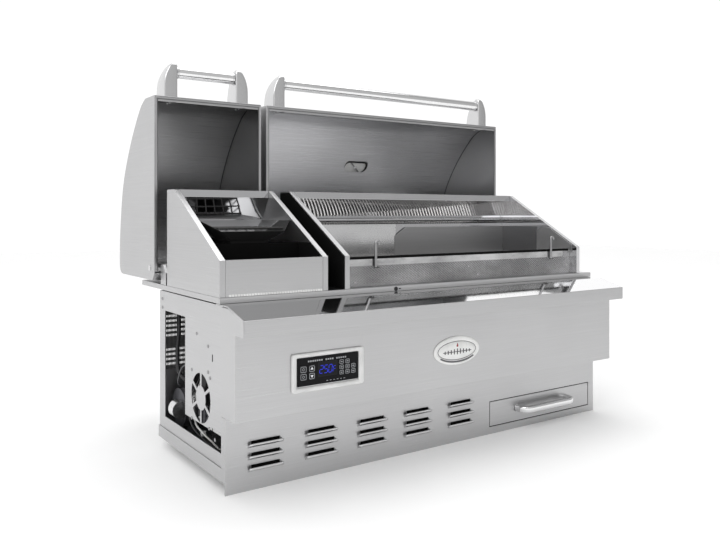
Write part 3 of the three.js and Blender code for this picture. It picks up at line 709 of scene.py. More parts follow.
def thermometer():
    """The dial on the lid's sloping outside, and its plate and strap seen from inside."""
    span = Span("main_lid_thermometer")
    after = next(i for i, (forward, _) in enumerate(LID) if i > 12 and forward > GAUGE_FORWARD)
    (f0, u0), (f1, u1) = LID[after - 1], LID[after]
    y, z = opened(GAUGE_FORWARD, u0 + (u1 - u0) * (GAUGE_FORWARD - f0) / (f1 - f0))
    along = Vector((0, u1 - u0, f1 - f0)).normalized()
    out = along.cross(Vector((-1, 0, 0)))
    if out.y < 0:
        out = -out
    place = Matrix(((1, 0, 0, span.cx), (0, along.y, out.y, y), (0, along.z, out.z, z), (0, 0, 0, 1)))

    def dial(layers, sides=72):
        return stack("z", [(oval((0, 0), half, sides), height) for half, height in layers])

    def fit(name, parts, material, **more):
        """A piece of parts in the dial's own (across, along, out) axes."""
        placed = [([tuple(place @ Vector(p)) for p in points], faces) for points, faces in parts]
        piece(name, placed, material, "main_lid", **more)

    fit("gauge_case", [dial((((52, 30), 0.6), ((52, 30), 6.5), ((49, 27.5), 9.3), ((45, 24), 8.6),
                             ((44, 23.5), 4.6), ((0.2, 0.2), 4.4)))], MIRROR,
        replaces="main_lid_thermometer")
    fit("gauge_face", [dial([((43.2, 22.7), height) for height in (4.7, 5.2)])], DIAL)
    pivot = (0, -12)
    marks = [tick_mark(pivot, 18 + 12 * k, 25 if k % 3 else 22, 29, 1.0 if k % 3 else 1.8, 5.2, 5.4)
             for k in range(13)]
    marks.append(tick_mark(pivot, 68, -5, 26, 1.6, 5.6, 6.1))
    marks.append(turned("z", pivot, [(3.2, 5.2), (3.2, 6.4), (2.2, 6.9)], 24))
    fit("gauge_marks", marks, BADGE_INK)
    fit("gauge_glass", [dial((((43.8, 23.3), 6.9), ((43.8, 23.3), 7.5), ((30, 15), 8.3),
                              ((5, 3), 8.6)))], GLASS)
    fit("gauge_back_plate", [dial([((49, 28), height) for height in (-0.1, 0.5)], 60)], BADGE)
    # The black of the slot lining is painted shade on the opening's walls.
    lining = [[(u, v / along.z) for u, v in gauge_slot(0, 0, thick)] for thick in (0.3, 1.1)]
    fit("gauge_slot_lining", [frame_ring("z", *lining, -7.9, -0.2)], SOOTY, slot="inner_stainless")
    fit("gauge_strap", [tick_mark((0, 0), 140, -24, 24, 3.8, -4.4, -2.6)], SCREW,
        edge=0.4, slot="dark_enamel")
    fit("gauge_stem_nut", [turned("z", (0, 0), [(4, -6.4), (4, -2.7)], 20)], SATIN, edge=0.4)
    return span.cx, y, z


def build_lids():
    for body in ("hopper_lid", "main_lid"):
        sheets = lid_pieces(body)
        handle_pieces(body)
        if body == "main_lid":
            x, y, z = thermometer()
            for sheet in sheets:
                cut_with(sheet, [prism("y", gauge_slot(x, z), y - 60, y + 60)])


# ---- front: louvres, controller, badge, drawer ----

LOUVRE_X = (-453.25, -327.25, -200.25, -76.25, 51.75)
LOUVRE_Z = (81.5, 58.5, 35.5)
LOUVRES = [(x, z) for x in LOUVRE_X for z in LOUVRE_Z]
LOUVRE_WIDE, LOUVRE_TALL = 77.0, 13.0
LIFT, END, CURL = 10.8, 9.0, 0.6
PRINTED = 0.12


def louvre_hood(x, z, face):
    """One pressed hood: its ends slope down to the sheet, and its mouth is the upper edge."""
    columns, rows = 36, 9

    def at(i, j, back):
        across, up = 2 * i / columns - 1, j / rows
        ends = sqrt(1 - (1 - min(1, (1 - abs(across)) * LOUVRE_WIDE / 2 / END)) ** 2)
        lift = LIFT * sin(up * pi * CURL) ** 0.9 * ends
        rise = (LOUVRE_TALL - 3.2) * up * (0.3 + 0.7 * ends) + 1.2 * up * (1 - ends)
        return (x + across * LOUVRE_WIDE / 2, face - lift + back, z + rise)

    wide, total = columns + 1, (columns + 1) * (rows + 1)
    points = [at(i, j, back) for back in (-0.15, 1.0) for j in range(rows + 1) for i in range(wide)]
    faces = []
    for j in range(rows):
        for i in range(columns):
            a = j * wide + i
            quad = [a, a + 1, a + wide + 1, a + wide]
            faces += [quad, [k + total for k in reversed(quad)]]
    edge = [*range(columns), *range(columns, rows * wide + columns, wide),
            *range(rows * wide + columns, rows * wide, -1), *range(rows * wide, 0, -wide)]
    faces += [[b, a, a + total, b + total] for a, b in zip(edge, edge[1:] + edge[:1])]
    return points, faces


def grid_plate(holes, x, z, y0, y1):
    """A flat sheet without its rectangular holes, each (x0, x1, z0, z1), as one closed part."""
    x_cuts = sorted({*x, *(h[k] for h in holes for k in (0, 1))})
    z_cuts = sorted({*z, *(h[k] for h in holes for k in (2, 3))})

    def filled(i, j):
        cx, cz = (x_cuts[i] + x_cuts[i + 1]) / 2, (z_cuts[j] + z_cuts[j + 1]) / 2
        return not any(h[0] < cx < h[1] and h[2] < cz < h[3] for h in holes)

    solid = {(i, j) for i in range(len(x_cuts) - 1) for j in range(len(z_cuts) - 1) if filled(i, j)}
    wide = len(z_cuts)
    points = [(x, y, z) for y in (y0, y1) for x in x_cuts for z in z_cuts]
    half = len(x_cuts) * wide
    faces = []
    for i, j in solid:
        first = i * wide + j
        quad = [first, first + wide, first + wide + 1, first + 1]
        faces += [quad, [k + half for k in reversed(quad)]]
        for (di, dj), (a, b) in (((0, -1), (0, 1)), ((1, 0), (1, 2)), ((0, 1), (2, 3)), ((-1, 0), (3, 0))):
            if (i + di, j + dj) not in solid:
                faces.append([quad[b], quad[a], quad[a] + half, quad[b] + half])
    return points, faces


def louvred_front():
    span, drawer = Span("lower_front_panel"), Span("drawer_front")
    face, slack = drawer.y0, 2.1
    opening = (*inward(drawer.x, -slack), *inward(drawer.z, -slack))
    slots = [(*about(x, LOUVRE_WIDE / 2 - 7.5), z + 4, z + LOUVRE_TALL) for x, z in LOUVRES]
    plate = grid_plate(slots + [opening], span.x, span.z, face, face + SHEET)
    returns = [block((x, x + SHEET), (face + SHEET, span.y1), (23.2, span.z1))
               for x in (span.x0, span.x1 - SHEET)]
    piece("louvred_front_panel", [plate, *returns], BRUSHED_X, replaces="lower_front_panel")
    piece("louvre_hoods", [louvre_hood(x, z, face) for x, z in LOUVRES], PRESSED)
    # Black blocks behind each column of louvres: painted shade inside the cabinet.
    dark = [block(about(x, LOUVRE_WIDE / 2 + 2), (face + SHEET + 0.6, face + SHEET + 1.4),
                  (LOUVRE_Z[-1] - 4, LOUVRE_Z[0] + LOUVRE_TALL + 5)) for x in LOUVRE_X]
    piece("louvre_painted_shade", dark, VOID)
    # A black frame in the gap round the drawer: painted shade in the gap.
    outer, inner = (rounded_box(inward(drawer.x, gap), inward(drawer.z, gap), radius)
                    for gap, radius in ((-2, 1.0), (-0.3, 0.6)))
    piece("drawer_gap_painted_shade", [frame_ring("y", outer, inner, face + 1.2, drawer.y1)], VOID)


SEGMENTS = {  # strokes of a figure in a 1 by 2 cell
    "a": (0, 2, 1, 2), "b": (1, 1, 1, 2), "c": (1, 0, 1, 1), "d": (0, 0, 1, 0),
    "e": (0, 0, 0, 1), "f": (0, 1, 0, 2), "g": (0, 1, 1, 1)}
FIGURES = {"2": "abged", "5": "afgcd", "0": "abcdef", "F": "afge"}


def figure(sign, x, z, size, y):
    """A seven-segment figure, slanted a little."""
    parts = []
    for name in FIGURES[sign]:
        x0, z0, x1, z1 = SEGMENTS[name]
        long_x, long_z = (-0.08, 0.13) if x0 == x1 else (0.13, -0.08)
        corners = rectangle(inward((x0, x1), long_x), inward((z0, z1), long_z))
        outline = [(x + (cu + 0.12 * cv) * size, z + cv * size) for cu, cv in corners]
        parts.append(prism("y", outline, y - PRINTED, y))
    return parts


def outline_box(u, v, radius, line, y):
    """A printed line round a box."""
    inner = rounded_box(inward(u, line), inward(v, line), max(radius - line, 0.1))
    return frame_ring("y", rounded_box(u, v, radius), inner, y - PRINTED, y)


def dress(node, material):
    materials = NODES[node].data.materials
    materials.clear()
    materials.append(material)


KEYS = ("power_button", "menu_button", "up_button", "down_button")

# Places on the controller's window, from its left to its right and upwards.
DIGIT_X, DIGIT_STEP, DIGIT_Z = -360, 10.4, 216.5
ICON_X, ICON_Z = (-313, -299, -285), (209, 219.5, 230)
TITLE_X, TITLE_GAPS, TITLE_Z = range(-386, -300, 5), (-351, -326), (241.4, 244.4)
DASH_X, DASH_Z = range(-344, -296, 8), (200.4, 201.4)


def controller():
    bezel, window = Span("control_bezel"), Span("control_panel")
    back, front, face = bezel.y1, bezel.y0, window.y0
    layers = []
    for dx, dz, y in ((0, 0, back), (0, 0, front + 1.6), (0.5, 0.5, front + 0.5), (1.6, 1.6, front),
                      (8.2, 6.0, front + 0.2), (10.4, 7.8, front + 1.4), (11.4, 8.6, front + 2.6),
                      (11.8, 9.0, back)):
        layers.append((rounded_box(inward(bezel.x, dx), inward(bezel.z, dz), 5.0 if dx < 4 else 2.4), y))
    piece("controller_bezel", [stack("y", layers, closed=True)], BEZEL, replaces="control_bezel",
          sharp=50)
    dress("control_panel", WINDOW)
    digits = [p for k, sign in enumerate("250F")
              for p in figure(sign, DIGIT_X + k * DIGIT_STEP, DIGIT_Z, 5.8 if sign == "F" else 7.5, face)]
    piece("display_figures", digits, DIGITS)
    shaded = prism("y", rounded_box((-363.5, -318), (209.5, 239.5), 2), face - 0.05, face)
    piece("display_shade", [shaded], KEY)

    def dash(x, z, radius):
        return prism("y", rounded_box(x, z, radius), face - 0.1, face)

    icons = []
    for x in ICON_X:
        for z in ICON_Z[:2] if x == ICON_X[-1] else ICON_Z:
            icons += [outline_box((x, x + 9.5), (z, z + 8), 1.4, 0.8, face),
                      dash((x + 2.4, x + 7.0), (z + 3.2, z + 4.8), 0.5)]
    icons += [dash((x, x + 3.3), TITLE_Z, 0.4) for x in TITLE_X if x not in TITLE_GAPS]
    icons += [dash((x, x + 4), DASH_Z, 0.3) for x in DASH_X]
    piece("display_icons", icons, PRINT)
    for node in KEYS:
        key = Span(node)
        dress(node, KEY)
        marks = [outline_box(inward(key.x, 0.8), inward(key.z, 0.8), 2.2, 0.9, key.y0)]
        arrow_key = node in ("up_button", "down_button")
        if not arrow_key:
            marks.append(outline_box(about(key.cx, 2.6), about(key.cz, 2.6), 2.5, 0.8, key.y0))
        piece(f"{node}_print", marks, PRINT, node)
        if arrow_key:
            way = 1 if node == "up_button" else -1
            arrow = [(key.cx + u, key.cz + way * v) for u, v in ((-3.4, -1.8), (3.4, -1.8), (0, 3.4))]
            piece(f"{node}_arrow", [prism("y", arrow, key.y0 - 0.14, key.y0)], BRIGHT_PRINT, node)


def badge():
    """An oval enamelled badge with a plain grate motif and no lettering."""
    span = Span("badge_plate")
    face, cx, cz = span.y0, span.cx, span.cz
    a, b = (span.x1 - span.x0) / 2, (span.z1 - span.z0) / 2

    def ring(margin):
        return oval((cx, cz), (a - margin, b - margin), 96)

    def arc(margin, degrees):
        return [(cx + (a - margin) * cos(radians(t)), cz + (b - margin) * sin(radians(t)))
                for t in degrees]

    layers = [(ring(d), y) for d, y in (
        (0, span.y1), (0, face + 1.4), (1.5, face + 0.4), (5, face), (10.2, face + 0.5), (11.0, face + 1.3),
        (12.2, face + 1.3), (13.0, face + 0.5), (24, face + 0.1))]
    layers.append((oval((cx, cz), (8, 0.5), 96), face))
    piece("badge_oval", [stack("y", layers)], BADGE, replaces="badge_plate", sharp=60)
    line = frame_ring("y", ring(10.9), ring(12.3), face + 0.9, face + 1.35)
    curve = arc(5.2, range(215, 326, 3)) + arc(9.2, range(323, 214, -3))
    foot = prism("y", curve, face - PRINTED, face + 0.8)
    bars = []
    for k in range(-4, 5):
        low, tall = cz - 9 + abs(k) * 0.7, 13.5 - abs(k) * 1.6
        bars.append(rounded_box(about(cx + k * 9.0, 1.6), (low, low + tall), 1.4, 3))
    bars.append(rounded_box(about(cx, 42), (cz - 3.4, cz - 1.8), 0.7, 3))
    raised = [prism("y", bar, face - PRINTED, face + 0.6) for bar in bars]
    piece("badge_motif", [line, foot, *raised], BADGE_INK)
    flame = catmull([(0, 7.5), (2.6, 9.5), (2.2, 12.5), (0.4, 17), (-0.8, 13.5), (-2.4, 11), (-2.0, 8.6),
                     (0, 7.5)], 4)
    spark = prism("y", [(cx + u, cz + v) for u, v in flame[:-1]], face - PRINTED, face + 0.6)
    piece("badge_flame", [spark], BADGE_RED)


def drawer_pull():
    """A bow pull: one flat bar with a rounded face, bent back to the drawer at both ends."""
    span, front = Span("drawer_handle"), Span("drawer_front").y0
    y, z = span.y0 + 8.2, span.cz
    left, right = inward(span.x, 3)
    path = rounded_path([(left, front - 0.2, z), (left + 4, y, z), (right - 4, y, z),
                         (right, front - 0.2, z)], 20, 12)
    section = [(8.0 * copysign(abs(u) ** 0.8, u), 8.4 * copysign(abs(v) ** 0.55, v))
               for u, v in ring_of(1, 32)]
    feet = [turned("y", (x, z), [(9.5, front - 0.3), (9.5, front - 1.4), (8, front - 2.2)], 36, 0.7)
            for x in (left, right)]
    piece("drawer_pull", [swept(path, section), *feet], MIRROR, "drawer", "drawer_handle", sharp=50)


# ---- boxes, grids and their fittings ----

def grids():
    for side in ("left", "right"):
        span = Span(f"cooking_grid_{side}")
        (x0, x1), (y0, y1) = inward(span.x, 3.2), inward(span.y, 3.2)
        bars = round((x1 - x0) / 11)
        bar_z, lower = span.z1 - 3.0, span.z1 - 3.2 * 3.0
        rods = [rod((x, y0, bar_z), (x, y1, bar_z), 3.0, 8)
                for x in (x0 + (x1 - x0) * k / bars for k in range(bars + 1))]
        rods += [rod((x0, y, lower), (x1, y, lower), 3.4) for y in (y0 + 4, y0 + 80, y0 + 154, y1 - 4)]
        rods += [rod((x, y, lower), (x, y, span.z0 + 0.3), 3.4)
                 for x in (x0 + 4, x1 - 4) for y in (y0 + 4, y1 - 4)]
        piece(f"rod_grid_{side}", rods, ROD, replaces=f"cooking_grid_{side}")


def wire_guard():
    """The finger guard: two layers of round wires, crossing."""
    span, bar = Span("hopper_guard"), 4.0
    step_x, step_y = (span.x1 - span.x0 - bar) / 6, (span.y1 - span.y0 - bar) / 5
    low, high = span.z0 + 1.2, span.z1 - 1.3
    wires = [rod((x, span.y0, low), (x, span.y1, low), 1.9, 12)
             for x in (span.x0 + bar / 2 + step_x * k for k in range(7))]
    wires += [rod((span.x0, y, high), (span.x1, y, high), 1.9, 12)
              for y in (span.y0 + bar / 2 + step_y * k for k in range(6))]
    piece("wire_guard", wires, SOOTY, replaces="hopper_guard")


def hooks_and_studs():
    wall = Span("chamber_front_wall")
    hooks, tips = [], []
    y, low, high = wall.y0 - 4.2, wall.z0 + 44, wall.z1 + 33
    for x in (wall.x0 + 82, wall.x1 - 79.6):
        path = rounded_path([(x, y, low - 2), (x, y, high), (x + 9, y, high + 0.4),
                             (x + 9, y, high - 7)], 3.2, 6)
        hooks.append(swept(path, ring_of(3.1, 14), (0, 1, 0)))
        tips.append(block((x - 3.4, x + 9), about(y, 2.2), (low - 3.4, low - 1.4)))
    piece("tool_hooks", hooks, SCREW, slot="polished_stainless")
    piece("tool_hook_feet", tips, SOOTY, edge=0.4)
    studs = [screw(x, wall.y0, wall.z0 + up, "-y", 3.2, 2.4) for x, up in (
        (wall.x0 + 29, 10), (wall.cx - 4, 33), (wall.cx + 26, 12), (wall.x1 - 12, 22))]
    piece("front_wall_studs", studs, SATIN, slot="polished_stainless")
    teeth = row(int(wall.x0) + 2, int(wall.x1) - 6, 7, 6, (wall.y0 - 1.0, wall.y1 + 0.4),
                (wall.z1 - 4.5, wall.z1 + 0.8))
    piece("front_wall_gasket", teeth, VOID)


def chamber_fittings():
    """On the chamber's rear and right walls: dark and light plates that are painted reflections, the rail
    that holds the grids, and its clips.
    """
    wall, fold, base, top = Span("chamber_rear_wall"), 517.0, 400, 493
    front = wall.y1 - 12.0 - SHEET
    left, right = wall.x0 + 327, wall.x1 - 0.5
    outline = [(left, base), (right, base), (right, top), (left + 36, top), (left, top - 23)]
    # Rear wall: a dark plate and a light plate beside it, painted reflections.
    piece("rear_painted_reflection_dark", [prism("y", outline, front - 1.6, front - 0.4)], DARK_REFLECTION_STEEL, edge=0.3)
    cover = block((wall.x0 + 1, left + 4), (front - 0.35, front - 0.1), (base, fold - 12))
    piece("rear_painted_reflection_light", [cover], SATIN_BRIGHT, slot="inner_stainless")
    low = front - 7
    rail = prism("x", [(low, fold - 9), (front - 0.5, fold - 12), (front - 0.5, fold - 2),
                       (low - 1, fold - 4)], *inward(wall.x, 1))
    piece("grid_rail", [rail], MIRROR, edge=0.6)
    clips = row(int(wall.x0) + 6, int(wall.x1) - 8, 8, 4.5, (low - 1.2, low + 0.4),
                (fold - 15, fold - 11.5))
    piece("grid_rail_clips", clips, SOOTY)
    cheek = Span("chamber_right_wall")
    near, x = cheek.y0, cheek.x0
    seam = near + 139.7
    # Right wall: a dark plate and a light plate, painted reflections.
    dark = [(front - 1.7, base + 20), (front - 1.7, top), (seam, top), (seam, base + 20)]
    piece("side_painted_reflection_dark", [prism("x", dark, x - 1.0, x - 0.2)], DARK_REFLECTION_MIRROR)
    light = [(seam, 424), (seam, 479), (near + 114, 495), (near + 94, 491), (near + 16, 446),
             (near + 16, 424)]
    piece("side_painted_reflection_light", [prism("x", light, x - 1.9, x - 1.1)], BRUSHED_Y, edge=0.3,
          slot="inner_stainless")


def hopper_foot_highlight():
    """A row of small white blocks where the hopper's front wall stands on the flange: a painted highlight
    along the bend.
    """
    wall = Span("hopper_front_wall")
    # White enamel blocks: a painted highlight, not a part.
    beads = row(int(wall.x0) + 6, int(wall.x1) - 6, 6, 4.8, (wall.y0 - 1.2, wall.y0 + 0.2),
                (wall.z0 + 0.3, wall.z0 + 5.0))
    piece("hopper_foot_painted_highlight", beads, BADGE, edge=0.3, slot="brushed_stainless")


def hopper_shade_sheet():
    """A folded black sheet that closes the hopper box in front of its funnel, flaps at its ends; its black
    is painted shade for the dark inside of the hopper.
    """
    funnel, front, top, slope, sheet = Span("hopper_funnel"), Span("hopper_front_wall"), 468.0, 0.59, 1.2
    low, y0, y1 = front.z0 + 0.4, front.y1 + 0.3, funnel.y0 - 0.4
    x0, x1 = inward(front.x, 0.3)
    folded = [(y0, low), (y1, low), (y1, top), (y1 - sheet, top), (y1 - sheet, low + sheet),
              (y0, low + sheet)]
    flap = [(y0, low + 1.5), (y1 - 1.5, low + 1.5), (y1 - 1.5, top),
            (y0 + (top - front.z1 - 4) / slope, top), (y0, front.z1 + 4)]
    parts = [prism("x", folded, x0, x1), prism("x", flap, x0, x0 + sheet),
             prism("x", flap, x1 - sheet, x1)]
    piece("hopper_painted_shade_sheet", parts, VOID)


def flange_fittings():
    """A black grommet for a probe lead in the flange's lip, and plates that close the ledge's ends."""
    flange, ledge, fascia = Span("counter_flange"), Span("front_ledge"), Span("front_fascia")
    lip, x, z = flange.y0, -118, flange.cz - 0.5
    grommet = [(4.9, lip + 0.2), (4.9, lip - 0.9), (4.2, lip - 1.7), (2.0, lip - 1.9), (1.6, lip - 0.6)]
    piece("probe_grommet", [turned("y", (x, z), grommet, 32)], RUBBER)
    # A flat black block stands in for a slot beside the grommet: painted shade inside it.
    piece("probe_slot", [block((x + 8, x + 14), (lip - 0.15, lip + 0.1), about(z, 1.2))], VOID)
    fold, front = ledge.y0 + 69, fascia.y0 - 0.3
    outline = [(fascia.y1, ledge.z1), (fold, ledge.z1), (ledge.y0, ledge.z1 - 19.6), (ledge.y0, ledge.z0),
               (front, ledge.z0), (front, fascia.z1 - 8.5), (fold, fascia.z1 + 1.4),
               (fascia.y1, fascia.z1 + 1.4)]
    ends = [prism("x", outline, ledge.x0 - 0.9, ledge.x0 - 0.05),
            prism("x", outline, ledge.x1 + 0.05, ledge.x1 + 0.9)]
    piece("ledge_end_plates", ends, BRUSHED_Y, edge=0.3)


def gap_shade_boards():
    """Black boards on both faces of the slot between the two boxes, and across its floor: painted shade in
    the gap.
    """
    left, right = Span("hopper_right_wall"), Span("chamber_left_wall")
    low, front, rear = left.z0 + 1, left.y0 + 3, left.y1 - 2
    outline = [(front, low), (rear, low), (rear, left.z1 - 3), (rear - 43, left.z1 - 3), (front, 437)]
    boards = [prism("x", outline, left.x1 + 0.2, left.x1 + 1.4),
              prism("x", outline, right.x0 - 1.4, right.x0 - 0.2),
              block((left.x1 + 1.5, right.x0 - 1.5), (front, rear), (left.z0 + 0.3, left.z0 + 1.1))]
    piece("gap_painted_shade", boards, VOID)


def hinge_caps():
    """The rounded pin heads on the outer lid ends, on the hinge line."""
    heads = ((Span("hopper_lid_end_left").x0, -1), (Span("main_lid_end_right").x1, 1))
    caps = [turned("x", opened(0, PIN_UP), [(r, x + way * along) for r, along in (
        (6.5, 0.1), (6.5, 1.4), (4, 2.0))], 28) for x, way in heads]
    piece("hinge_pin_caps", caps, SATIN)


# ---- left side: fan, motor, blower, wires, screws ----

def side_screws():
    x, rear, right = Span("left_side_panel").x0, Span("rear_panel").y1, Span("right_side_panel").x1
    places = [(74, 337), (74, 317), (66, 42), (-8, 40), (-100, 40), (-190, 40), (-238, 43),
              (-190, 268), (-131, 285), (-190, 217), (-225, 92), (-196, 107), (-104, 107),
              (-104, 207), (-200, 207), (-22, 36)]
    heads = [screw(x, y, z, "-x", 3.6, 1.6) for y, z in places]
    heads += [screw(across, rear, z, "+y", 3.6, 1.6)
              for across in (-500, -300, -100, 100, 300, 490) for z in (35, 340)]
    heads += [screw(right, y, z, "+x", 3.6, 1.6) for y in (-230, -80, 70) for z in (40, 335)]
    piece("panel_screws", heads, SCREW)
    # Flat black blocks stand in for two slots in the side panel: painted shade inside them.
    slots = [block((x - 0.25, x + 0.05), about(-212, 1.6), about(z, 7)) for z in (248, 104)]
    piece("panel_slots", slots, VOID)


def fan_wheel():
    """The cooling fan: a hub and seven twisted blades."""
    span = Span("cooling_fan")
    cy, cz = span.cy, span.cz
    reach = (span.z1 - span.z0) / 2
    parts = [turned("x", (cy, cz), [(2, span.x0 + 0.8), (14, span.x0 + 0.8), (17.5, span.x0 + 2.5),
                                    (18, span.x1 - 1), (2, span.x1 - 1)], 40)]
    for k in range(7):
        rings = []
        for out in (j / 8 for j in range(9)):
            r = 17 + (reach - 17.4) * out
            turn = 2 * pi * k / 7 + 0.012 * (r - 17)
            twist, chord = radians(52 - 20 * out), 9 + 5 * out
            ring = []
            for along, thick in ((-1, -0.6), (0, -0.9), (1, -0.5), (1, 0.5), (0, 0.9), (-1, 0.6)):
                axial = along * chord / 2 * cos(twist) * 0.9
                a = turn + along * chord * sin(twist) / r
                ring.append((span.cx + axial + thick, cy + r * cos(a), cz + r * sin(a)))
            rings.append(ring)
        parts.append(loft(rings))
    piece("cooling_fan_wheel", parts, BLACK, "cooling_fan", "cooling_fan")


def vent_screens():
    """Fine dark mesh held behind the vents, so that nothing falls in."""
    rear, right = Span("rear_panel"), Span("right_side_panel")
    y, x = rear.y0 - 0.4, right.x0 - 0.4
    pitch, wire = 3.2, 1.8

    def steps(low, high):
        return [(low + pitch * k, low + pitch * k + wire) for k in range(int((high - low) / pitch))]

    bars = [block(wires, (y - 0.8, y), (172, 304)) for wires in steps(rear.x0 + 4, rear.x1 - 4)]
    bars += [block((x - 0.8, x), wires, (194, 268)) for wires in steps(right.y0 + 56, right.y1 - 44)]
    piece("vent_screens", bars, SCREEN)


def motor_and_blower():
    motor = Span("auger_motor")
    x0, y0, y1 = motor.x0, motor.y0, motor.y0 + 80
    gear = [block(inward(motor.x, 3), (y0, y1), motor.z)]
    gear += [block(inward(motor.x, 1), (y0 + along, y0 + along + 2.5), inward(motor.z, 3))
             for along in (8, 24, 40, 56, 70)]
    piece("gearbox", gear, MOTOR, replaces="auger_motor", edge=1.6, segments=3)
    can = [(10, y1 - 1), (17, y1 - 1), (17, motor.y1 - 9), (15.5, motor.y1 - 6.5), (8, motor.y1 - 6),
           (8, motor.y1 - 2), (5, motor.y1 - 0.5)]
    piece("gear_motor_can", [turned("y", (motor.cx - 6.2, 125), can, 44)], SATIN, slot="dark_enamel")
    bolts = [screw(x0 + 3, y, z, "-x", 4, 2.4) for y in (y0 + 8, y1 - 8) for z in inward(motor.z, 8)]
    piece("gearbox_bolts", bolts, SATIN)
    drum, hub = Span("blower_housing"), (33.25, 95.0)
    left, right = drum.x
    profile = [(20.5, left), (41, left), (43, left + 1.5), (42, left + 4), (42, right - 4),
               (43, right - 1.5), (41, right), (8, right), (8, right - 2), (40, right - 2),
               (40, left + 2), (20.5, left + 2)]
    piece("blower_drum", [turned("x", hub, profile, 64)], MOTOR, replaces="blower_housing", sharp=40)
    piece("blower_duct", [block((right - 34, right - 6), (17.5, 49), (drum.z0, 60))], MOTOR, edge=1.2)
    cap = turned("y", (-523.5, 100), [(19, -8.5), (19, 18), (16.5, 20)], 48)
    piece("blower_motor_cap", [cap], SATIN)


RUNS = {
    "grey": [(-500, -20, 200), (-512, 10, 190), (-516, 28, 160), (-510, 40, 145), (-500, 45, 140)],
    "white": [(-498, -60, 170), (-514, -66, 130), (-522, -90, 92), (-519, -120, 78), (-512, -150, 66),
              (-505, -190, 60), (-500, -225, 120)],
    "black": [(-497, -50, 172), (-517, -40, 120), (-523, -70, 84), (-518, -110, 66), (-508, -170, 56),
              (-500, -215, 90)],
}


def wiring():
    for name, points in RUNS.items():
        piece(f"wire_{name}", [tube_along(points, 2.0)], WIRES[name])
    sleeve = [(-503, 60, 320), (-505, 52, 270), (-512, 44, 220), (-514, 30, 178), (-506, 10, 160)]
    piece("wire_sleeve", [tube_along(sleeve, 4.2, 16)], RUBBER)
    clips = [block((-518, -508), about(y, 4), about(z, 5)) for y, z in ((-66, 130), (-110, 72))]
    piece("wire_clips", clips, BEZEL, edge=1.2, segments=3)


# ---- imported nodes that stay: better materials and softened edges ----

KEPT = {
    BRUSHED_X: ["rear_panel", "front_fascia", "counter_flange", "hopper_front_wall", "drawer_front",
                "bottom_pan"],
    BRUSHED_Y: ["left_side_panel", "right_side_panel", "hopper_left_wall", "hopper_right_wall",
                "chamber_left_wall", "hinge_bracket_left", "hinge_bracket_middle",
                "hinge_bracket_right"],
    LEDGE: ["front_ledge"],
    FUNNEL: ["hopper_funnel"],
    DIMPLED: ["chamber_front_wall"],
    STRIP: ["chamber_rear_wall", "hopper_rear_wall", "chamber_right_wall"],
    ENAMEL: ["firebox_tub", "heat_deflector", "drawer_tray"],
    SATIN: ["broiler_slider", "igniter_rod", "auger_tube", "auger_screw"],
    SOOTY: ["burn_pot"],
    BLACK: ["blower_wheel"],
    KEY: KEYS,
}
ROUNDED = ("auger_tube", "auger_screw", "igniter_rod", "burn_pot", "blower_wheel")


def finish_kept_nodes():
    for material, names in KEPT.items():
        for name in names:
            dress(name, material)
            NODES[name].modifiers.new("weld", "WELD").merge_threshold = WELD_WITHIN
            if name not in ROUNDED:
                bevel(NODES[name], 0.8 if name == "front_ledge" else 0.5)


# ---- studio ----

def softbox(name, place, size, aim, power):
    data = bpy.data.lights.new(name, "AREA")
    data.shape, data.size, data.size_y = "RECTANGLE", *size
    data.energy = power
    lamp = add_object(name, data)
    lamp.location = place
    lamp.rotation_euler = (Vector(aim) - Vector(place)).to_track_quat("-Z", "Y").to_euler()


# How bright the studio's walls are by bearing, in degrees from the front towards the right,
# and how bright its ceiling is, by the height of the direction.
WALLS = ((-180, 1.06), (-100, 1.06), (-60, 0.85), (-15, 0.66), (30, 0.56), (60, 0.42), (85, 0.5),
         (112, 1.06), (180, 1.06))
CEILING = ((-1, 0.8), (-0.1, 0.9), (0.0, 1.0), (0.5, 1.0), (1, 0.85))
FLOOR_HALF = 9.0


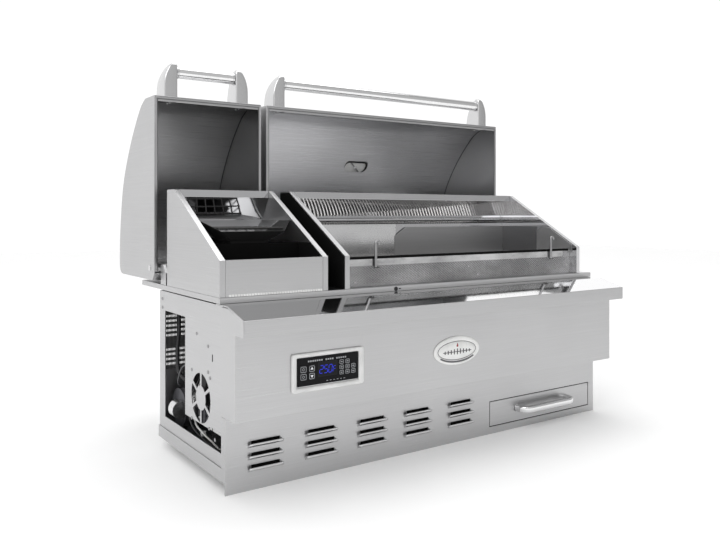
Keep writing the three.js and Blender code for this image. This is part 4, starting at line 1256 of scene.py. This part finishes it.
def pale_floor():
    """A pale floor that brightens with distance, so that it has no horizon."""
    mesh = bpy.data.meshes.new("floor")
    mesh.from_pydata([(x * FLOOR_HALF, y * FLOOR_HALF, 0) for x, y in ((-1, -1), (1, -1), (1, 1), (-1, 1))],
                     [], [[0, 1, 2, 3]])
    floor = add_object("floor", mesh)
    shader = Shader("pale_floor", (0.93, 0.93, 0.93), 0, 0.8, Emission_Color=(1, 1, 1, 1))
    distance = shader.node("VectorMath", {0: shader.place}, operation="LENGTH").outputs["Value"]
    shader.join(shader.spread(distance, 0.07, 0.24, 1.2, 3.0), "Emission Strength")
    mesh.materials.append(shader.tint(shader.noise(3), (0.9, 0.9, 0.9)).material)


def light_world():
    world = bpy.data.worlds.new("studio")
    bpy.context.scene.world = world
    sky = Nodes(world)

    def ramp(value, low, high, stops):
        made = sky.node("ValToRGB", {"Fac": sky.spread(value, 0.0, 1.0, low, high)})
        elements = made.color_ramp.elements
        while len(elements) < len(stops):
            elements.new(0.5)
        for element, (at, level) in zip(elements, stops):
            element.position = (at - low) / (high - low)
            element.color = (level, level, level, 1)
        return made.outputs[0]

    axes = sky.axes(sky.point("Generated"))
    bearing = sky.calc("ARCTAN2", axes["X"], sky.calc("MULTIPLY", axes["Y"], -1.0))
    around = ramp(bearing, -pi, pi, [(radians(a), level) for a, level in WALLS])
    above = ramp(axes["Z"], -1, 1, CEILING)
    light = sky.node("VectorMath", {0: around, 1: above}, operation="MULTIPLY").outputs[0]
    sky.tree.links.new(light, sky.tree.nodes["Background"].inputs["Color"])


def studio():
    pale_floor()
    light_world()
    softbox("key", (-2.4, -1.6, 2.8), (2.2, 2.0), (0, 0, 0.4), 30)
    softbox("top", (0.3, 0.2, 3.4), (3.0, 2.4), (0, 0, 0.4), 44)
    view = bpy.context.scene.view_settings
    view.view_transform, view.look = "Standard", "None"


# ---- build ----

for build in (build_lids, louvred_front, controller, badge, drawer_pull, grids, wire_guard,
              hooks_and_studs, chamber_fittings, hopper_foot_highlight, hopper_shade_sheet, flange_fittings,
              gap_shade_boards, hinge_caps, side_screws, fan_wheel, vent_screens, motor_and_blower,
              wiring, finish_kept_nodes, studio):
    build()
